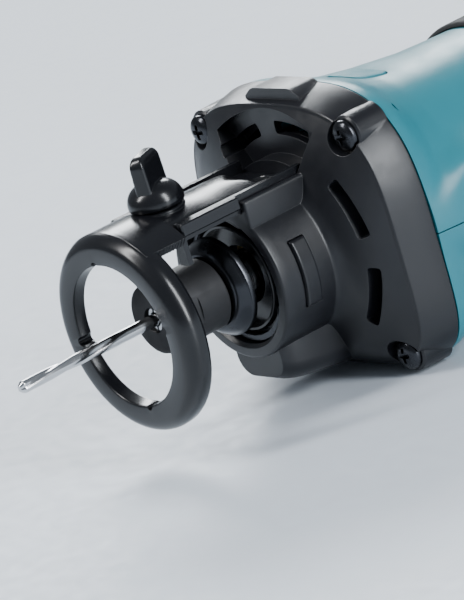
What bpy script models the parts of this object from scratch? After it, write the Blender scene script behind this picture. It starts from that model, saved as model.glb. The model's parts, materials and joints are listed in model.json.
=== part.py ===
"""A cordless cut-out router: a motor spindle in a gripped housing, with a depth shoe at the front
and a slide-on battery at the back.

Metres, +Z up. The spindle lies along Y and the cutting bit points to -Y. Places along the spindle
are measured from the datum, the joint between the black front cover and the coloured housing.
"""

import math

import bmesh
import bpy

mm = 0.001
GAP = 0.3 * mm                    # clearance between pieces that only touch

# Body outline at the cover joint
BODY_HALF_WIDTH = 40 * mm
BODY_TOP = 38.8 * mm
BODY_BOTTOM = 33.4 * mm           # the axis height when the tool lies down
TOP_POWER = 4.2                   # how square the upper corners are
BOTTOM_POWER = 5.0
ROUND = 2.0

# Front cover
COVER_DEPTH = 11.5 * mm
NECK_LENGTH = 23.5 * mm
NECK_RADIUS = 20.6 * mm
COLLAR_BORE = 17 * mm
COLLAR_DEPTH = 5.7 * mm
SHOULDER_BORE = 12 * mm
CHAMBER_RADIUS = 30.5 * mm
CHAMBER_DEPTH = 7 * mm
PLATEAU_RISE = 1.3 * mm
PLATEAU_HALF_WIDTH = 9.4 * mm
SCREW_SPREAD = 28.6 * mm
VENT_RADIUS = 30.2 * mm
VENT_WIDTH = 3.6 * mm
VENTS = ((8, 38), (66, 88), (103, 121), (143, 171), (187, 217), (323, 353))
KEEL_HALF_WIDTH = 11 * mm
KEEL_DROP = 27 * mm

# Housing
HOUSING_LENGTH = 150 * mm
WALL = 2.6 * mm
GRIP_RADIUS = 31.5 * mm
REAR_HALF_WIDTH = 38.5 * mm
SLEEVE_START, SLEEVE_END = 57 * mm, 112 * mm
SLEEVE_THICKNESS = 2.2 * mm

# Spindle and motor
SPINDLE_RADIUS = 6 * mm
NOSE_RADIUS = 6.4 * mm
NUT_RADIUS = 9.2 * mm
NUT_REACH = 25 * mm               # from the neck's face to the nut's face
NUT_LENGTH = 17.6 * mm
NUT_FLATS = 8.5 * mm              # axis to flat
FLANGE_RADIUS = 12.8 * mm
BIT_RADIUS = 1.6 * mm
BIT_REACH = 67 * mm               # from the neck's face to the tip
BIT_FLUTES = 30 * mm
FRONT_BEARING_RADIUS = 14 * mm
FRONT_BEARING_WIDTH = 8 * mm
REAR_BEARING_RADIUS = 11 * mm
REAR_BEARING_WIDTH = 7 * mm
REAR_JOURNAL = 4 * mm
RACE = 2.5 * mm
STATOR_RADIUS = 27.5 * mm
STATOR_BORE = 17.5 * mm
STATOR_START, STATOR_LENGTH = 16 * mm, 36 * mm
WINDING = 9 * mm
FAN_RADIUS = 28 * mm
FAN_BLADES = 11

# Depth shoe, its guide and clamp
RING_RADIUS = 25.8 * mm
RING_BORE = 18.2 * mm
RING_REACH = 35 * mm              # from the neck's face to the shoe's face
RING_DEPTH = 7 * mm
RING_PLATE = 4 * mm
ARM_CURVE = 25 * mm               # radius of the arm's crown
ARM_CREST = 24.6 * mm
SKIRT_CREST = 25.2 * mm
ARM_HALF_WIDTH = 11.1 * mm
SKIRT_HALF_WIDTH = 13.5 * mm
GUIDE_TOP = 23.1 * mm
GUIDE_WALL = 1.6 * mm
GUIDE_FLOOR = 1.5 * mm
GUIDE_REACH = 19 * mm             # how far the guide stands in front of the neck
SHOE_TRAVEL = 12 * mm
KNOB_REACH = 14 * mm              # from the neck's face to the clamp screw
KNOB_RADIUS = 7.1 * mm
KNOB_HEIGHT = 13.8 * mm
KNOB_ANGLE = 30                   # degrees from the spindle's direction to the blade
BOLT_RADIUS = 2.1 * mm

# Fasteners
SCREW_RADIUS = 1.9 * mm
HEAD_RADIUS = 4 * mm
HEAD_HEIGHT = 2.4 * mm

# Controls
LOCK_TRAVEL = 2.2 * mm
LOCK_PROUD = 1.1 * mm
PIN_RADIUS = 1.8 * mm
SLIDER_TRAVEL = 6 * mm

# Battery
BATTERY_HALF_WIDTH = 37.5 * mm
BATTERY_LENGTH = 112 * mm
BATTERY_DEPTH = 42 * mm
RAIL_HALF_WIDTH = 24 * mm
RAIL_DEPTH = 6 * mm
CELL_RADIUS = 9.2 * mm
CELL_LENGTH = 65 * mm
CELL_COUNT = 5

# Places that follow from the sizes above
NECK_FACE = -(COVER_DEPTH + NECK_LENGTH)
BIT_TIP = NECK_FACE - BIT_REACH
RING_FACE = NECK_FACE - RING_REACH
KNOB_Y = NECK_FACE - KNOB_REACH
GUIDE_FRONT = NECK_FACE - GUIDE_REACH
BATTERY_FACE = HOUSING_LENGTH + 2 * GAP
BATTERY_BACK = BATTERY_FACE + BATTERY_DEPTH
DATUM_Y = -(BIT_TIP + BATTERY_BACK) / 2
AXIS_HEIGHT = BODY_BOTTOM
FULL = 2 * math.pi


# ---------------------------------------------------------------- helpers

def paint(name, colour, roughness, metallic=0.0):
    """A Principled material, made once for each finish."""
    material = bpy.data.materials.get(name)
    if material is None:
        material = bpy.data.materials.new(name)
        material.use_nodes = True
        shader = material.node_tree.nodes["Principled BSDF"]
        shader.inputs["Base Color"].default_value = (*colour, 1.0)
        shader.inputs["Roughness"].default_value = roughness
        shader.inputs["Metallic"].default_value = metallic
    return material


FINISHES = {"black": ((0.02, 0.022, 0.026), 0.35, 0.0), "teal": ((0.02, 0.2, 0.23), 0.35, 0.0),
            "rubber": ((0.02, 0.02, 0.02), 0.8, 0.0), "steel": ((0.6, 0.6, 0.62), 0.25, 1.0),
            "dark_steel": ((0.06, 0.06, 0.07), 0.35, 1.0), "copper": ((0.6, 0.25, 0.1), 0.35, 1.0),
            "brass": ((0.7, 0.5, 0.2), 0.3, 1.0), "board": ((0.02, 0.15, 0.06), 0.5, 0.0),
            "cell": ((0.1, 0.3, 0.45), 0.4, 0.0),}


def empty(name, location, parent=None):
    """A guide that carries the pieces of one axis."""
    guide = bpy.data.objects.new(name, None)
    bpy.context.collection.objects.link(guide)
    guide.location = location
    guide.parent = parent
    return guide


def add_object(name, shape, finish, parent, smooth=35):
    """Turns a bmesh into a named object with outward faces."""
    bmesh.ops.remove_doubles(shape, verts=shape.verts, dist=0.00001 * mm)
    bmesh.ops.recalc_face_normals(shape, faces=shape.faces)
    mesh = bpy.data.meshes.new(name)
    shape.to_mesh(mesh)
    shape.free()
    mesh.shade_smooth()
    mesh.set_sharp_from_angle(angle=math.radians(smooth))
    thing = bpy.data.objects.new(name, mesh)
    bpy.context.collection.objects.link(thing)
    thing.parent = parent
    thing.data.materials.append(paint(finish, *FINISHES[finish]))
    return thing


def loft(name, rings, finish, parent, closed=False):
    """A skin over rings of points; the ends are capped, or joined when closed."""
    shape = bmesh.new()
    rows = [[shape.verts.new(point) for point in ring] for ring in rings]
    pairs = list(zip(rows, rows[1:]))
    if closed:
        pairs.append((rows[-1], rows[0]))
    for near, far in pairs:
        count = len(near)
        for i in range(count):
            j = (i + 1) % count
            shape.faces.new((near[i], near[j], far[j]))
            shape.faces.new((near[i], far[j], far[i]))
    if not closed:
        shape.faces.new(rows[0])
        shape.faces.new(rows[-1])
    return add_object(name, shape, finish, parent)


def turned(name, profile, finish, parent, count=32, axis="Y", centre=(0, 0)):
    """A turned piece. The profile holds (radius, place along the axis), and closes on itself.

    The centre is the axis's place in the other two directions: X and Z for a Y axis, X and Y for
    a Z axis, and Y and Z for an X axis.
    """
    shape = bmesh.new()

    def place(radius, along, angle):
        a = centre[0] + radius * math.cos(angle)
        b = centre[1] + radius * math.sin(angle)
        return {"X": (along, a, b), "Y": (a, along, b), "Z": (a, b, along)}[axis]

    rows = []
    for radius, along in profile:
        if radius == 0:
            rows.append([shape.verts.new(place(0, along, 0))])
        else:
            rows.append([shape.verts.new(place(radius, along, FULL * i / count)) for i in range(count)])
    for near, far in zip(rows, rows[1:] + rows[:1]):
        for i in range(count):
            j = (i + 1) % count
            corners = [near[i % len(near)], near[j % len(near)], far[j % len(far)], far[i % len(far)]]
            corners = list(dict.fromkeys(corners))
            if len(corners) > 2:
                shape.faces.new(corners)
    return add_object(name, shape, finish, parent)


def rod(name, radius, low, high, finish, parent, count=24, axis="Y", centre=(0, 0)):
    """A plain round bar."""
    profile = [(0, low), (radius, low), (radius, high), (0, high)]
    return turned(name, profile, finish, parent, count, axis, centre)


def pipe(name, inner, outer, low, high, finish, parent, count=32, axis="Y", centre=(0, 0)):
    """A plain round tube."""
    profile = [(inner, low), (outer, low), (outer, high), (inner, high)]
    return turned(name, profile, finish, parent, count, axis, centre)


def prism(name, outline, low, high, finish, parent, axis="Y"):
    """An outline pushed along an axis. A Y prism's outline is in X and Z, a Z prism's in X and Y."""
    order = {"X": lambda a, b, c: (c, a, b), "Y": lambda a, b, c: (a, c, b), "Z": lambda a, b,
             c: (a, b, c)}[axis]
    rings = [[order(a, b, along) for a, b in outline] for along in (low, high)]
    return loft(name, rings, finish, parent)


def block(name, low, high, finish, parent, bevel=0.0, steps=2):
    """A box between two corners with rounded edges."""
    shape = bmesh.new()
    bmesh.ops.create_cube(shape, size=1.0)
    for vertex in shape.verts:
        vertex.co = [low[i] if vertex.co[i] < 0 else high[i] for i in range(3)]
    if bevel:
        bmesh.ops.bevel(shape, geom=shape.edges[:], offset=bevel, segments=steps, profile=0.5,
                        affect="EDGES")
    return add_object(name, shape, finish, parent)


def rounded_rectangle(half_a, half_b, radius, centre=(0, 0), steps=4):
    """Corner arcs of one radius round a rectangle."""
    points = []
    for corner in range(4):
        side_a = half_a - radius if corner in (0, 3) else radius - half_a
        side_b = half_b - radius if corner in (0, 1) else radius - half_b
        for i in range(steps + 1):
            angle = (corner + i / steps) * FULL / 4
            points.append((centre[0] + side_a + radius * math.cos(angle),
                           centre[1] + side_b + radius * math.sin(angle)))
    return points


def outline(half_width, top, bottom, top_power, bottom_power, count=44):
    """A rounded square: |x/a|^n + |z/b|^n = 1, with its own height and power above and below."""
    points = []
    for i in range(count):
        angle = FULL * i / count
        across, up = math.cos(angle), math.sin(angle)
        height, power = (top, top_power) if up >= 0 else (bottom, bottom_power)
        reach = (abs(across / half_width) ** power + abs(up / height) ** power) ** (-1 / power)
        points.append((reach * across, reach * up))
    return points


def belly(scale, square):
    """How far a section reaches below the axis: as far as sideways where round, less where square."""
    return scale * (BODY_HALF_WIDTH + (BODY_BOTTOM - BODY_HALF_WIDTH) * square)


def body_section(along, scale, square, count=44):
    """The body's outline at one place: scale is its size, and square runs from 0, round, to 1."""
    top_power = ROUND + (TOP_POWER - ROUND) * square
    bottom_power = ROUND + (BOTTOM_POWER - ROUND) * square
    shape = outline(BODY_HALF_WIDTH * scale, BODY_TOP * scale, belly(scale, square), top_power,
                    bottom_power, count)
    return [(x, along, z) for x, z in shape]


def hide_tool(tool):
    """Marks a cutter so that it isn't part of the model."""
    tool.hide_render = True
    tool.display_type = "WIRE"


def combine(target, tool, operation):
    """Cuts, joins or keeps what two pieces share."""
    step = target.modifiers.new(operation.lower(), "BOOLEAN")
    step.operation = operation
    step.object = tool
    step.solver = "EXACT"
    hide_tool(tool)


def cut(target, *tools):
    for tool in tools:
        combine(target, tool, "DIFFERENCE")


def join(target, *tools):
    for tool in tools:
        combine(target, tool, "UNION")


def arc_block(name, inner, outer, first, last, low, high, parent, steps=5):
    """A cutter for an arc slot between two angles in degrees, measured from +X."""
    angles = [math.radians(first + (last - first) * i / steps) for i in range(steps + 1)]
    points = [(outer * math.cos(a), outer * math.sin(a)) for a in angles]
    points += [(inner * math.cos(a), inner * math.sin(a)) for a in reversed(angles)]
    return prism(name, points, low, high, "black", parent)


def screw(name, place, head_face, length, parent, axis="Y", direction=1):
    """A pan head screw with a cross recess. It points along +axis, or -axis for direction -1."""
    top = head_face
    seat = top + HEAD_HEIGHT * direction
    tip = seat + length * direction
    profile = [(0, top), (HEAD_RADIUS * 0.62, top),
               (HEAD_RADIUS * 0.9, top + HEAD_HEIGHT * 0.3 * direction),
               (HEAD_RADIUS, top + HEAD_HEIGHT * 0.7 * direction), (HEAD_RADIUS, seat),
               (SCREW_RADIUS, seat), (SCREW_RADIUS, tip - SCREW_RADIUS * 0.5 * direction),
               (SCREW_RADIUS * 0.4, tip), (0, tip)]
    body = turned(name, profile, "dark_steel", parent, 14, axis, place)
    reach, half, depth = HEAD_RADIUS * 0.55, HEAD_RADIUS * 0.13, HEAD_HEIGHT * 0.6
    ends = sorted((top - HEAD_HEIGHT * direction, top + depth * direction))
    arms = [(reach, half), (half, half), (half, reach), (-half, reach), (-half, half), (-reach, half),
            (-reach, -half), (-half, -half), (-half, -reach), (half, -reach), (half, -half),
            (reach, -half)]
    points = [(place[0] + a, place[1] + b) for a, b in arms]
    cut(body, prism(name + "_recess", points, *ends, "dark_steel", parent, axis))
    return body


# ---------------------------------------------------------------- front cover

def cover_screw_places():
    """The four corner screws, as X and Z."""
    return [(side * SCREW_SPREAD, level * SCREW_SPREAD + 0.6 * mm) for level in (1, -1) for side in (-1, 1)]


BEARING_FRONT = NECK_FACE + 12.5 * mm
BEARING_BACK = BEARING_FRONT + FRONT_BEARING_WIDTH
COLLAR_FLOOR = NECK_FACE + COLLAR_DEPTH
LOCK_Y = NECK_FACE + 8.8 * mm
LOCK_HALF_WIDTH = 2.3 * mm
LOCK_HALF_HEIGHT = 8.4 * mm
LOCK_FLOOR = 15.6 * mm
GUIDE_SEAT = COLLAR_BORE + 1.2 * mm      # the groove's floor over the collar bore
GUIDE_HALF_WIDTH = ARM_HALF_WIDTH + GAP + GUIDE_WALL
BOX_HALF_WIDTH = GUIDE_HALF_WIDTH + GAP + 1.7 * mm
BOX_TOP = GUIDE_TOP - 1.8 * mm
GROOVE_END = -COVER_DEPTH - 2.2 * mm
GUIDE_REAR = GROOVE_END - GAP


def front_cover(datum):
    """Neck, concave shoulder and square flange in one moulding, with the guide box and the keel."""
    neck = NECK_RADIUS / BODY_HALF_WIDTH
    stations = ((0.0, neck - 0.01, 0), (0.025, neck, 0), (0.62, neck + 0.003, 0),
                (0.70, neck + 0.02, 0.02), (0.76, neck + 0.07, 0.06), (0.84, neck + 0.18, 0.2),
                (0.91, neck + 0.28, 0.42), (0.975, neck + 0.37, 0.75))
    rings = [body_section(NECK_FACE + NECK_LENGTH * part, scale, square) for part, scale,
             square in stations]
    for inset, scale in ((0.8 * mm, 0.935), (1.6 * mm, 0.96), (COVER_DEPTH - 1 * mm, 1.0), (COVER_DEPTH - GAP, 1.0)):
        rings.append(body_section(-COVER_DEPTH + inset, scale, 1))
    cover = loft("front_cover", rings, "black", datum)

    box = block("guide_box", (-BOX_HALF_WIDTH, NECK_FACE, 5 * mm),
                (BOX_HALF_WIDTH, -COVER_DEPTH + 2 * mm, BOX_TOP), "black", datum, 0.6 * mm, 1)
    keel_rings = []
    for along, half, drop in ((1.6 * mm, 0.8, 0.0), (3.5 * mm, 0.97, 0.6 * mm),
                              (NECK_LENGTH, 1.2, 3 * mm), (NECK_LENGTH + 4 * mm, 1.25, 3.6 * mm)):
        low = -(KEEL_DROP + drop)
        half_height = (low + 8 * mm) / -2
        shape = rounded_rectangle(KEEL_HALF_WIDTH * half, half_height, 4 * mm, (0, low + half_height), 3)
        keel_rings.append([(x, NECK_FACE + along, z) for x, z in shape])
    keel = loft("keel", keel_rings, "black", datum)
    plateau = prism("plateau", [(-PLATEAU_HALF_WIDTH, BODY_TOP + PLATEAU_RISE),
                                (-PLATEAU_HALF_WIDTH - 3.2 * mm, BODY_TOP - 0.5 * mm),
                                (-PLATEAU_HALF_WIDTH, BODY_TOP - 4 * mm),
                                (PLATEAU_HALF_WIDTH, BODY_TOP - 4 * mm),
                                (PLATEAU_HALF_WIDTH + 3.2 * mm, BODY_TOP - 0.5 * mm),
                                (PLATEAU_HALF_WIDTH, BODY_TOP + PLATEAU_RISE)], -COVER_DEPTH + 3.6 * mm,
                    -1.4 * GAP, "black", datum)
    join(cover, box, keel, plateau)

    bore = turned("cover_bore", [(0, NECK_FACE - 1 * mm), (COLLAR_BORE, NECK_FACE - 1 * mm),
                                 (COLLAR_BORE, COLLAR_FLOOR), (FRONT_BEARING_RADIUS + GAP, COLLAR_FLOOR),
                                 (FRONT_BEARING_RADIUS + GAP, BEARING_BACK + GAP),
                                 (SHOULDER_BORE, BEARING_BACK + GAP), (SHOULDER_BORE, -CHAMBER_DEPTH),
                                 (CHAMBER_RADIUS, -CHAMBER_DEPTH), (CHAMBER_RADIUS, 1 * mm), (0, 1 * mm)],
                  "black", datum, 48)
    recess = arc_block("crescent_recess", 23 * mm, 36.4 * mm, 56, 124, -COVER_DEPTH - 12 * mm,
                       -CHAMBER_DEPTH - 2.4 * mm, datum, 10)
    groove = block("guide_groove", (-GUIDE_HALF_WIDTH - GAP, NECK_FACE - 1 * mm, GUIDE_SEAT),
                   (GUIDE_HALF_WIDTH + GAP, GROOVE_END, BODY_TOP - 6 * mm), "black", datum)
    cut(cover, bore, recess, groove)
    for index, (first, last) in enumerate(VENTS):
        cut(cover, arc_block(f"vent_{index}", VENT_RADIUS - VENT_WIDTH / 2, VENT_RADIUS + VENT_WIDTH / 2,
                             first, last, -COVER_DEPTH - 9 * mm, -CHAMBER_DEPTH + 1 * mm, datum))
    for index, place in enumerate(cover_screw_places()):
        seat = -COVER_DEPTH + 2 * mm
        hole = [(0, -COVER_DEPTH - 8 * mm), (HEAD_RADIUS + 2.2 * mm, -COVER_DEPTH - 8 * mm),
                (HEAD_RADIUS + 2.2 * mm, seat), (SCREW_RADIUS + GAP, seat), (SCREW_RADIUS + GAP, 1 * mm),
                (0, 1 * mm)]
        cut(cover, turned(f"cover_screw_hole_{index}", hole, "black", datum, 16, "Y", place))
    pocket = block("lock_pocket", (LOCK_FLOOR, LOCK_Y - LOCK_HALF_WIDTH - GAP, -LOCK_HALF_HEIGHT - GAP),
                   (NECK_RADIUS + 6 * mm, LOCK_Y + LOCK_HALF_WIDTH + GAP, LOCK_HALF_HEIGHT + GAP),
                   "black", datum)
    pin_hole = rod("lock_pin_hole", PIN_RADIUS + GAP, 10 * mm, NECK_RADIUS, "black", datum, 16, "X",
                   (LOCK_Y, 0))
    cut(cover, pocket, pin_hole)
    for index, along in enumerate(bracket_screw_places()):
        cut(cover, rod(f"bracket_screw_hole_{index}", 1.3 * mm + GAP, GUIDE_SEAT - 3.4 * mm,
                       GUIDE_SEAT + 1 * mm, "black", datum, 12, "Z", (0, along)))
    return cover


def bracket_screw_places():
    """The guide's two fixing screws along the neck, behind the collar's bore."""
    return (COLLAR_FLOOR + 3 * mm, BEARING_BACK - 3.4 * mm)


def guide_bracket(datum):
    """The steel channel that the shoe's arm slides in, with a slotted tongue under the arm."""
    floor = GUIDE_SEAT + GAP
    tongue_front = RING_FACE + RING_PLATE + 0.6 * mm
    outer, inner = GUIDE_HALF_WIDTH, GUIDE_HALF_WIDTH - GUIDE_WALL
    channel = [(-outer, floor), (outer, floor), (outer, GUIDE_TOP), (inner, GUIDE_TOP),
               (inner, floor + GUIDE_FLOOR), (-inner, floor + GUIDE_FLOOR), (-inner, GUIDE_TOP),
               (-outer, GUIDE_TOP)]
    bracket = prism("guide_bracket", channel, GUIDE_FRONT, GUIDE_REAR, "black", datum)
    tongue = block("guide_tongue", (-6 * mm, tongue_front, floor),
                   (6 * mm, GUIDE_FRONT + 3 * mm, floor + GUIDE_FLOOR), "black", datum)
    join(bracket, tongue)
    for side in (-1, 1):
        ends = sorted((side * (outer - 0.4 * mm), side * (outer + 1.5 * mm)))
        bar = block(f"guide_bar_{side}", (ends[0], GUIDE_FRONT + 0.02 * mm, GUIDE_TOP - 3.3 * mm),
                    (ends[1], NECK_FACE - 2 * GAP, GUIDE_TOP - 0.02 * mm), "black", datum, 0.35 * mm, 1)
        legs = sorted((side * (outer - 3.4 * mm), side * (outer - 0.03 * mm)))
        leg = block(f"guide_leg_{side}", (legs[0], GUIDE_FRONT + 0.04 * mm, floor - 6 * mm),
                    (legs[1], GUIDE_FRONT + 1.5 * mm, floor + 1 * mm), "black", datum)
        join(bracket, bar, leg)
    slot_low, slot_high = KNOB_Y - SHOE_TRAVEL - BOLT_RADIUS - GAP, KNOB_Y + BOLT_RADIUS + GAP
    slot = prism("guide_slot", rounded_rectangle(BOLT_RADIUS + GAP, (slot_high - slot_low) / 2,
                                                 BOLT_RADIUS, (0, (slot_high + slot_low) / 2), 3),
                 floor - 1 * mm, floor + 3 * mm, "black", datum, "Z")
    cut(bracket, slot)
    for index, along in enumerate(bracket_screw_places()):
        rim = floor + GUIDE_FLOOR + 1 * mm
        hole = [(0, rim), (3.4 * mm + GAP, rim), (1.3 * mm + GAP, rim - 2.1 * mm),
                (1.3 * mm + GAP, floor - 1 * mm), (0, floor - 1 * mm)]
        cut(bracket, turned(f"bracket_hole_{index}", hole, "black", datum, 16, "Z", (0, along)))
    return bracket


def bracket_screws(datum):
    """Two countersunk screws that hold the guide to the neck, flush with its floor."""
    top = GUIDE_SEAT + GAP + GUIDE_FLOOR - 0.1 * mm
    for index, along in enumerate(bracket_screw_places()):
        profile = [(0, top), (2.3 * mm, top), (1.3 * mm, top - 1 * mm), (1.3 * mm, GUIDE_SEAT - 3 * mm),
                   (0, GUIDE_SEAT - 3 * mm)]
        turned(f"bracket_screw_{index + 1}", profile, "steel", datum, 16, "Z", (0, along))


def collar_parts(datum):
    """The dust plate at the bottom of the collar and the spring ring that keeps it there."""
    plate_front = COLLAR_FLOOR - 2.2 * mm
    lip = FLANGE_RADIUS + GAP
    turned("dust_plate", [(lip, plate_front - 1.6 * mm), (lip + 0.9 * mm, plate_front - 1.6 * mm),
                          (lip + 1.2 * mm, plate_front), (COLLAR_BORE - GAP, plate_front),
                          (COLLAR_BORE - GAP, COLLAR_FLOOR - GAP),
                          (SPINDLE_RADIUS + 2 * GAP + 1 * mm, COLLAR_FLOOR - GAP),
                          (SPINDLE_RADIUS + 2 * GAP + 1 * mm, plate_front + 1 * mm),
                          (lip, plate_front + 1 * mm)], "black", datum, 40)
    low, high = plate_front - GAP - 1.1 * mm, plate_front - GAP
    opening = 14
    steps = 28
    angles = [math.radians(opening + (360 - 2 * opening) * i / steps - 15) for i in range(steps + 1)]
    inner, outer = COLLAR_BORE - 1.7 * mm, COLLAR_BORE - GAP
    points = [(outer * math.cos(a), outer * math.sin(a)) for a in angles]
    points += [(inner * math.cos(a), inner * math.sin(a)) for a in reversed(angles)]
    ring = prism("spring_ring", points, low, high, "steel", datum)
    for side, angle in ((1, angles[0]), (-1, angles[-1])):
        place = ((inner + 0.4 * mm) * math.cos(angle), (inner + 0.4 * mm) * math.sin(angle))
        join(ring, rod(f"ring_ear_{side}", 1.25 * mm, low + 0.02 * mm, high - 0.02 * mm, "steel", datum,
                       12, "Y", place))
        cut(ring, rod(f"ring_ear_hole_{side}", 0.5 * mm, low - 1 * mm, high + 1 * mm, "steel", datum, 8,
                      "Y", place))


# ---------------------------------------------------------------- housing

def housing_profile():
    """Places along the housing with its size and squareness, from the cover to the battery."""
    grip = GRIP_RADIUS / BODY_HALF_WIDTH
    rear = REAR_HALF_WIDTH / BODY_HALF_WIDTH
    end = HOUSING_LENGTH
    return ((0.0, 0.995, 1), (0.8 * mm, 1.0, 1), (4 * mm, 0.985, 1), (9 * mm, 0.94, 0.95),
            (16 * mm, 0.89, 0.75), (26 * mm, 0.84, 0.5), (40 * mm, grip + 0.01, 0.22),
            (54 * mm, grip, 0.1), (SLEEVE_END, grip, 0.1), (SLEEVE_END + 10 * mm, grip + 0.045, 0.3),
            (end - 16 * mm, rear - 0.03, 0.85), (end - 9 * mm, rear, 1), (end, rear, 1))


def housing_size(along):
    """The housing's scale and squareness at any place, in straight runs between its stations."""
    stations = housing_profile()
    for (start, scale, square), (stop, next_scale, next_square) in zip(stations, stations[1:]):
        if start <= along <= stop:
            part = (along - start) / (stop - start)
            return scale + (next_scale - scale) * part, square + (next_square - square) * part
    return stations[-1][1:]


def side_boss(name, side, datum):
    """A smooth swelling on the housing's flank: blunt in front, fading out at the back."""
    rings = []
    front, middle, back = 3 * mm, 33 * mm, 56 * mm
    for i in range(13):
        turn = math.pi * i / 12
        part = -math.cos(turn)
        along = middle + (middle - front if part < 0 else back - middle) * part
        power = 5 if part < 0 else 2.4
        swell = max(1 - abs(part) ** power, 0.0) ** 0.5 + 0.02
        centre_x, half_x, half_z = 28 * mm, 13.5 * mm * swell, 15.5 * mm * swell
        ring = []
        for k in range(20):
            angle = FULL * k / 20
            ring.append((side * (centre_x + half_x * math.cos(angle)), along,
                         3.4 * mm + half_z * math.sin(angle)))
        rings.append(ring)
    return loft(name, rings, "teal", datum)


def housing_cavity(name, datum):
    """The hollow for the fan, motor and electronics."""
    inner = STATOR_RADIUS + GAP
    rings = []
    for along, radius, power in ((-1 * mm, 34.5 * mm, 2.4), (5 * mm, 33.5 * mm, 2.3),
                                 (11 * mm, 29.5 * mm, 2.0), (STATOR_START - 2 * mm, inner, 2.0),
                                 (STATOR_START + STATOR_LENGTH + WINDING + 3 * mm, inner, 2.0),
                                 (STATOR_START + STATOR_LENGTH + WINDING + 6 * mm,
                                  GRIP_RADIUS - WALL - 0.4 * mm, 2.0),
                                 (HOUSING_LENGTH - RAIL_DEPTH - WALL, GRIP_RADIUS - WALL - 0.4 * mm,
                                  2.0)):
        low = min(radius, belly(*housing_size(max(along, 0))) - WALL)
        rings.append([(x, along, z) for x, z in outline(radius, radius, low, power, power, 40)])
    return loft(name, rings, "teal", datum)


def rear_channel(name, datum):
    """The T-shaped channel that takes the battery's rails, open at the top."""
    half, lip = RAIL_HALF_WIDTH, RAIL_HALF_WIDTH - 4 * mm
    deep, mid, end = HOUSING_LENGTH - RAIL_DEPTH, HOUSING_LENGTH - RAIL_DEPTH / 2, HOUSING_LENGTH + 1 * mm
    shape = [(-half, deep), (half, deep), (half, mid), (lip, mid), (lip, end), (-lip, end), (-lip, mid),
             (-half, mid)]
    return prism(name, shape, -BODY_BOTTOM + 6 * mm, BODY_TOP + 5 * mm, "teal", datum, "Z")


def housing_screw_places():
    """The four screws that close the housing, as X and distance along the tool."""
    return [(side * 21 * mm, along) for along in (88 * mm, 128 * mm) for side in (-1, 1)]


def housing_half(name, side, datum):
    """One half of the housing: the outer skin less the cavity, the channel and the other half."""
    rings = [body_section(along, scale, square) for along, scale, square in housing_profile()]
    half = loft(name, rings, "teal", datum)
    for flank in (-1, 1):
        join(half, side_boss(f"{name}_boss_{flank}", flank, datum))
    cavity = housing_cavity(name + "_cavity", datum)
    for index, (x, along) in enumerate(housing_screw_places()):
        cut(cavity, rod(f"{name}_post_{index}", 5 * mm, -40 * mm, 40 * mm, "teal", datum, 16, "Z",
                        (x, along)))
    cut(half, cavity, rear_channel(name + "_channel", datum))
    far = 60 * mm
    split = sorted((side * GAP / 2, -side * far))
    cut(half, block(name + "_split", (-far, -5 * mm, split[0]), (far, HOUSING_LENGTH + 5 * mm, split[1]),
                    "teal", datum))
    for index, place in enumerate(cover_screw_places()):
        if place[1] * side > 0:
            cut(half, rod(f"{name}_cover_hole_{index}", SCREW_RADIUS + GAP, -1 * mm, 6 * mm, "teal",
                          datum, 16, "Y", place))
    for index, (x, along) in enumerate(housing_screw_places()):
        if side > 0:
            cut(half, rod(f"{name}_hole_{index}", SCREW_RADIUS + GAP, -1 * mm, 12 * mm, "teal", datum, 16,
                          "Z", (x, along)))
        else:
            seat = HOUSING_SCREW_SEAT
            hole = [(0, -60 * mm), (HEAD_RADIUS + GAP, -60 * mm), (HEAD_RADIUS + GAP, seat),
                    (SCREW_RADIUS + GAP, seat), (SCREW_RADIUS + GAP, 1 * mm), (0, 1 * mm)]
            cut(half, turned(f"{name}_hole_{index}", hole, "teal", datum, 16, "Z", (x, along)))
    for flank in (-1, 1):
        for index in range(4):
            along = SLEEVE_END + 7 * mm + index * 4.6 * mm
            ends = sorted((flank * 27 * mm, flank * 45 * mm))
            levels = sorted((side * 3.4 * mm, side * 13.2 * mm))
            cut(half, block(f"{name}_inlet_{flank}_{index}", (ends[0], along, levels[0]),
                            (ends[1], along + 2.2 * mm, levels[1]), "teal", datum))
    return half


HOUSING_SCREW_SEAT = -14 * mm
SLIDER_Y = 90 * mm
SLOT_HALF_WIDTH = 4 * mm
SLIDER_HALF = 7 * mm
PAD_PLACE = (3.5 * mm, 17 * mm)
PAD_HALF = (6.9 * mm, 4.8 * mm)


def surface_height(along, across):
    """The height of the housing's top above the axis."""
    scale, square = housing_size(along)
    power = ROUND + (TOP_POWER - ROUND) * square
    return BODY_TOP * scale * (1 - abs(across / (BODY_HALF_WIDTH * scale)) ** power) ** (1 / power)


def housing(datum):
    """Both halves of the housing, with the places for the thumb pad and the switch."""
    upper = housing_half("housing_upper", 1, datum)
    housing_half("housing_lower", -1, datum)
    slot = block("slider_slot", (-SLOT_HALF_WIDTH, SLIDER_Y - SLIDER_HALF - SLIDER_TRAVEL - GAP, 20 * mm),
                 (SLOT_HALF_WIDTH, SLIDER_Y + SLIDER_HALF - 3 * mm, 40 * mm), "teal", datum)
    cut(upper, slot, pad_prism("pad_recess", GAP, -1.2 * mm, 6 * mm, datum))


def pad_prism(name, grow, low, high, datum):
    """A rounded pad that follows the slope of the housing's top."""
    shape = rounded_rectangle(PAD_HALF[0] + grow, PAD_HALF[1] + grow, 2.4 * mm + grow, PAD_PLACE, 4)
    rings = [[(x, y, surface_height(y, x) + lift) for x, y in shape] for lift in (low, high)]
    return loft(name, rings, "teal", datum)


def thumb_pad(datum):
    """The small inlaid pad on top of the housing."""
    return pad_prism("thumb_pad", 0, -1.2 * mm + GAP, 0.35 * mm, datum)


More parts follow.
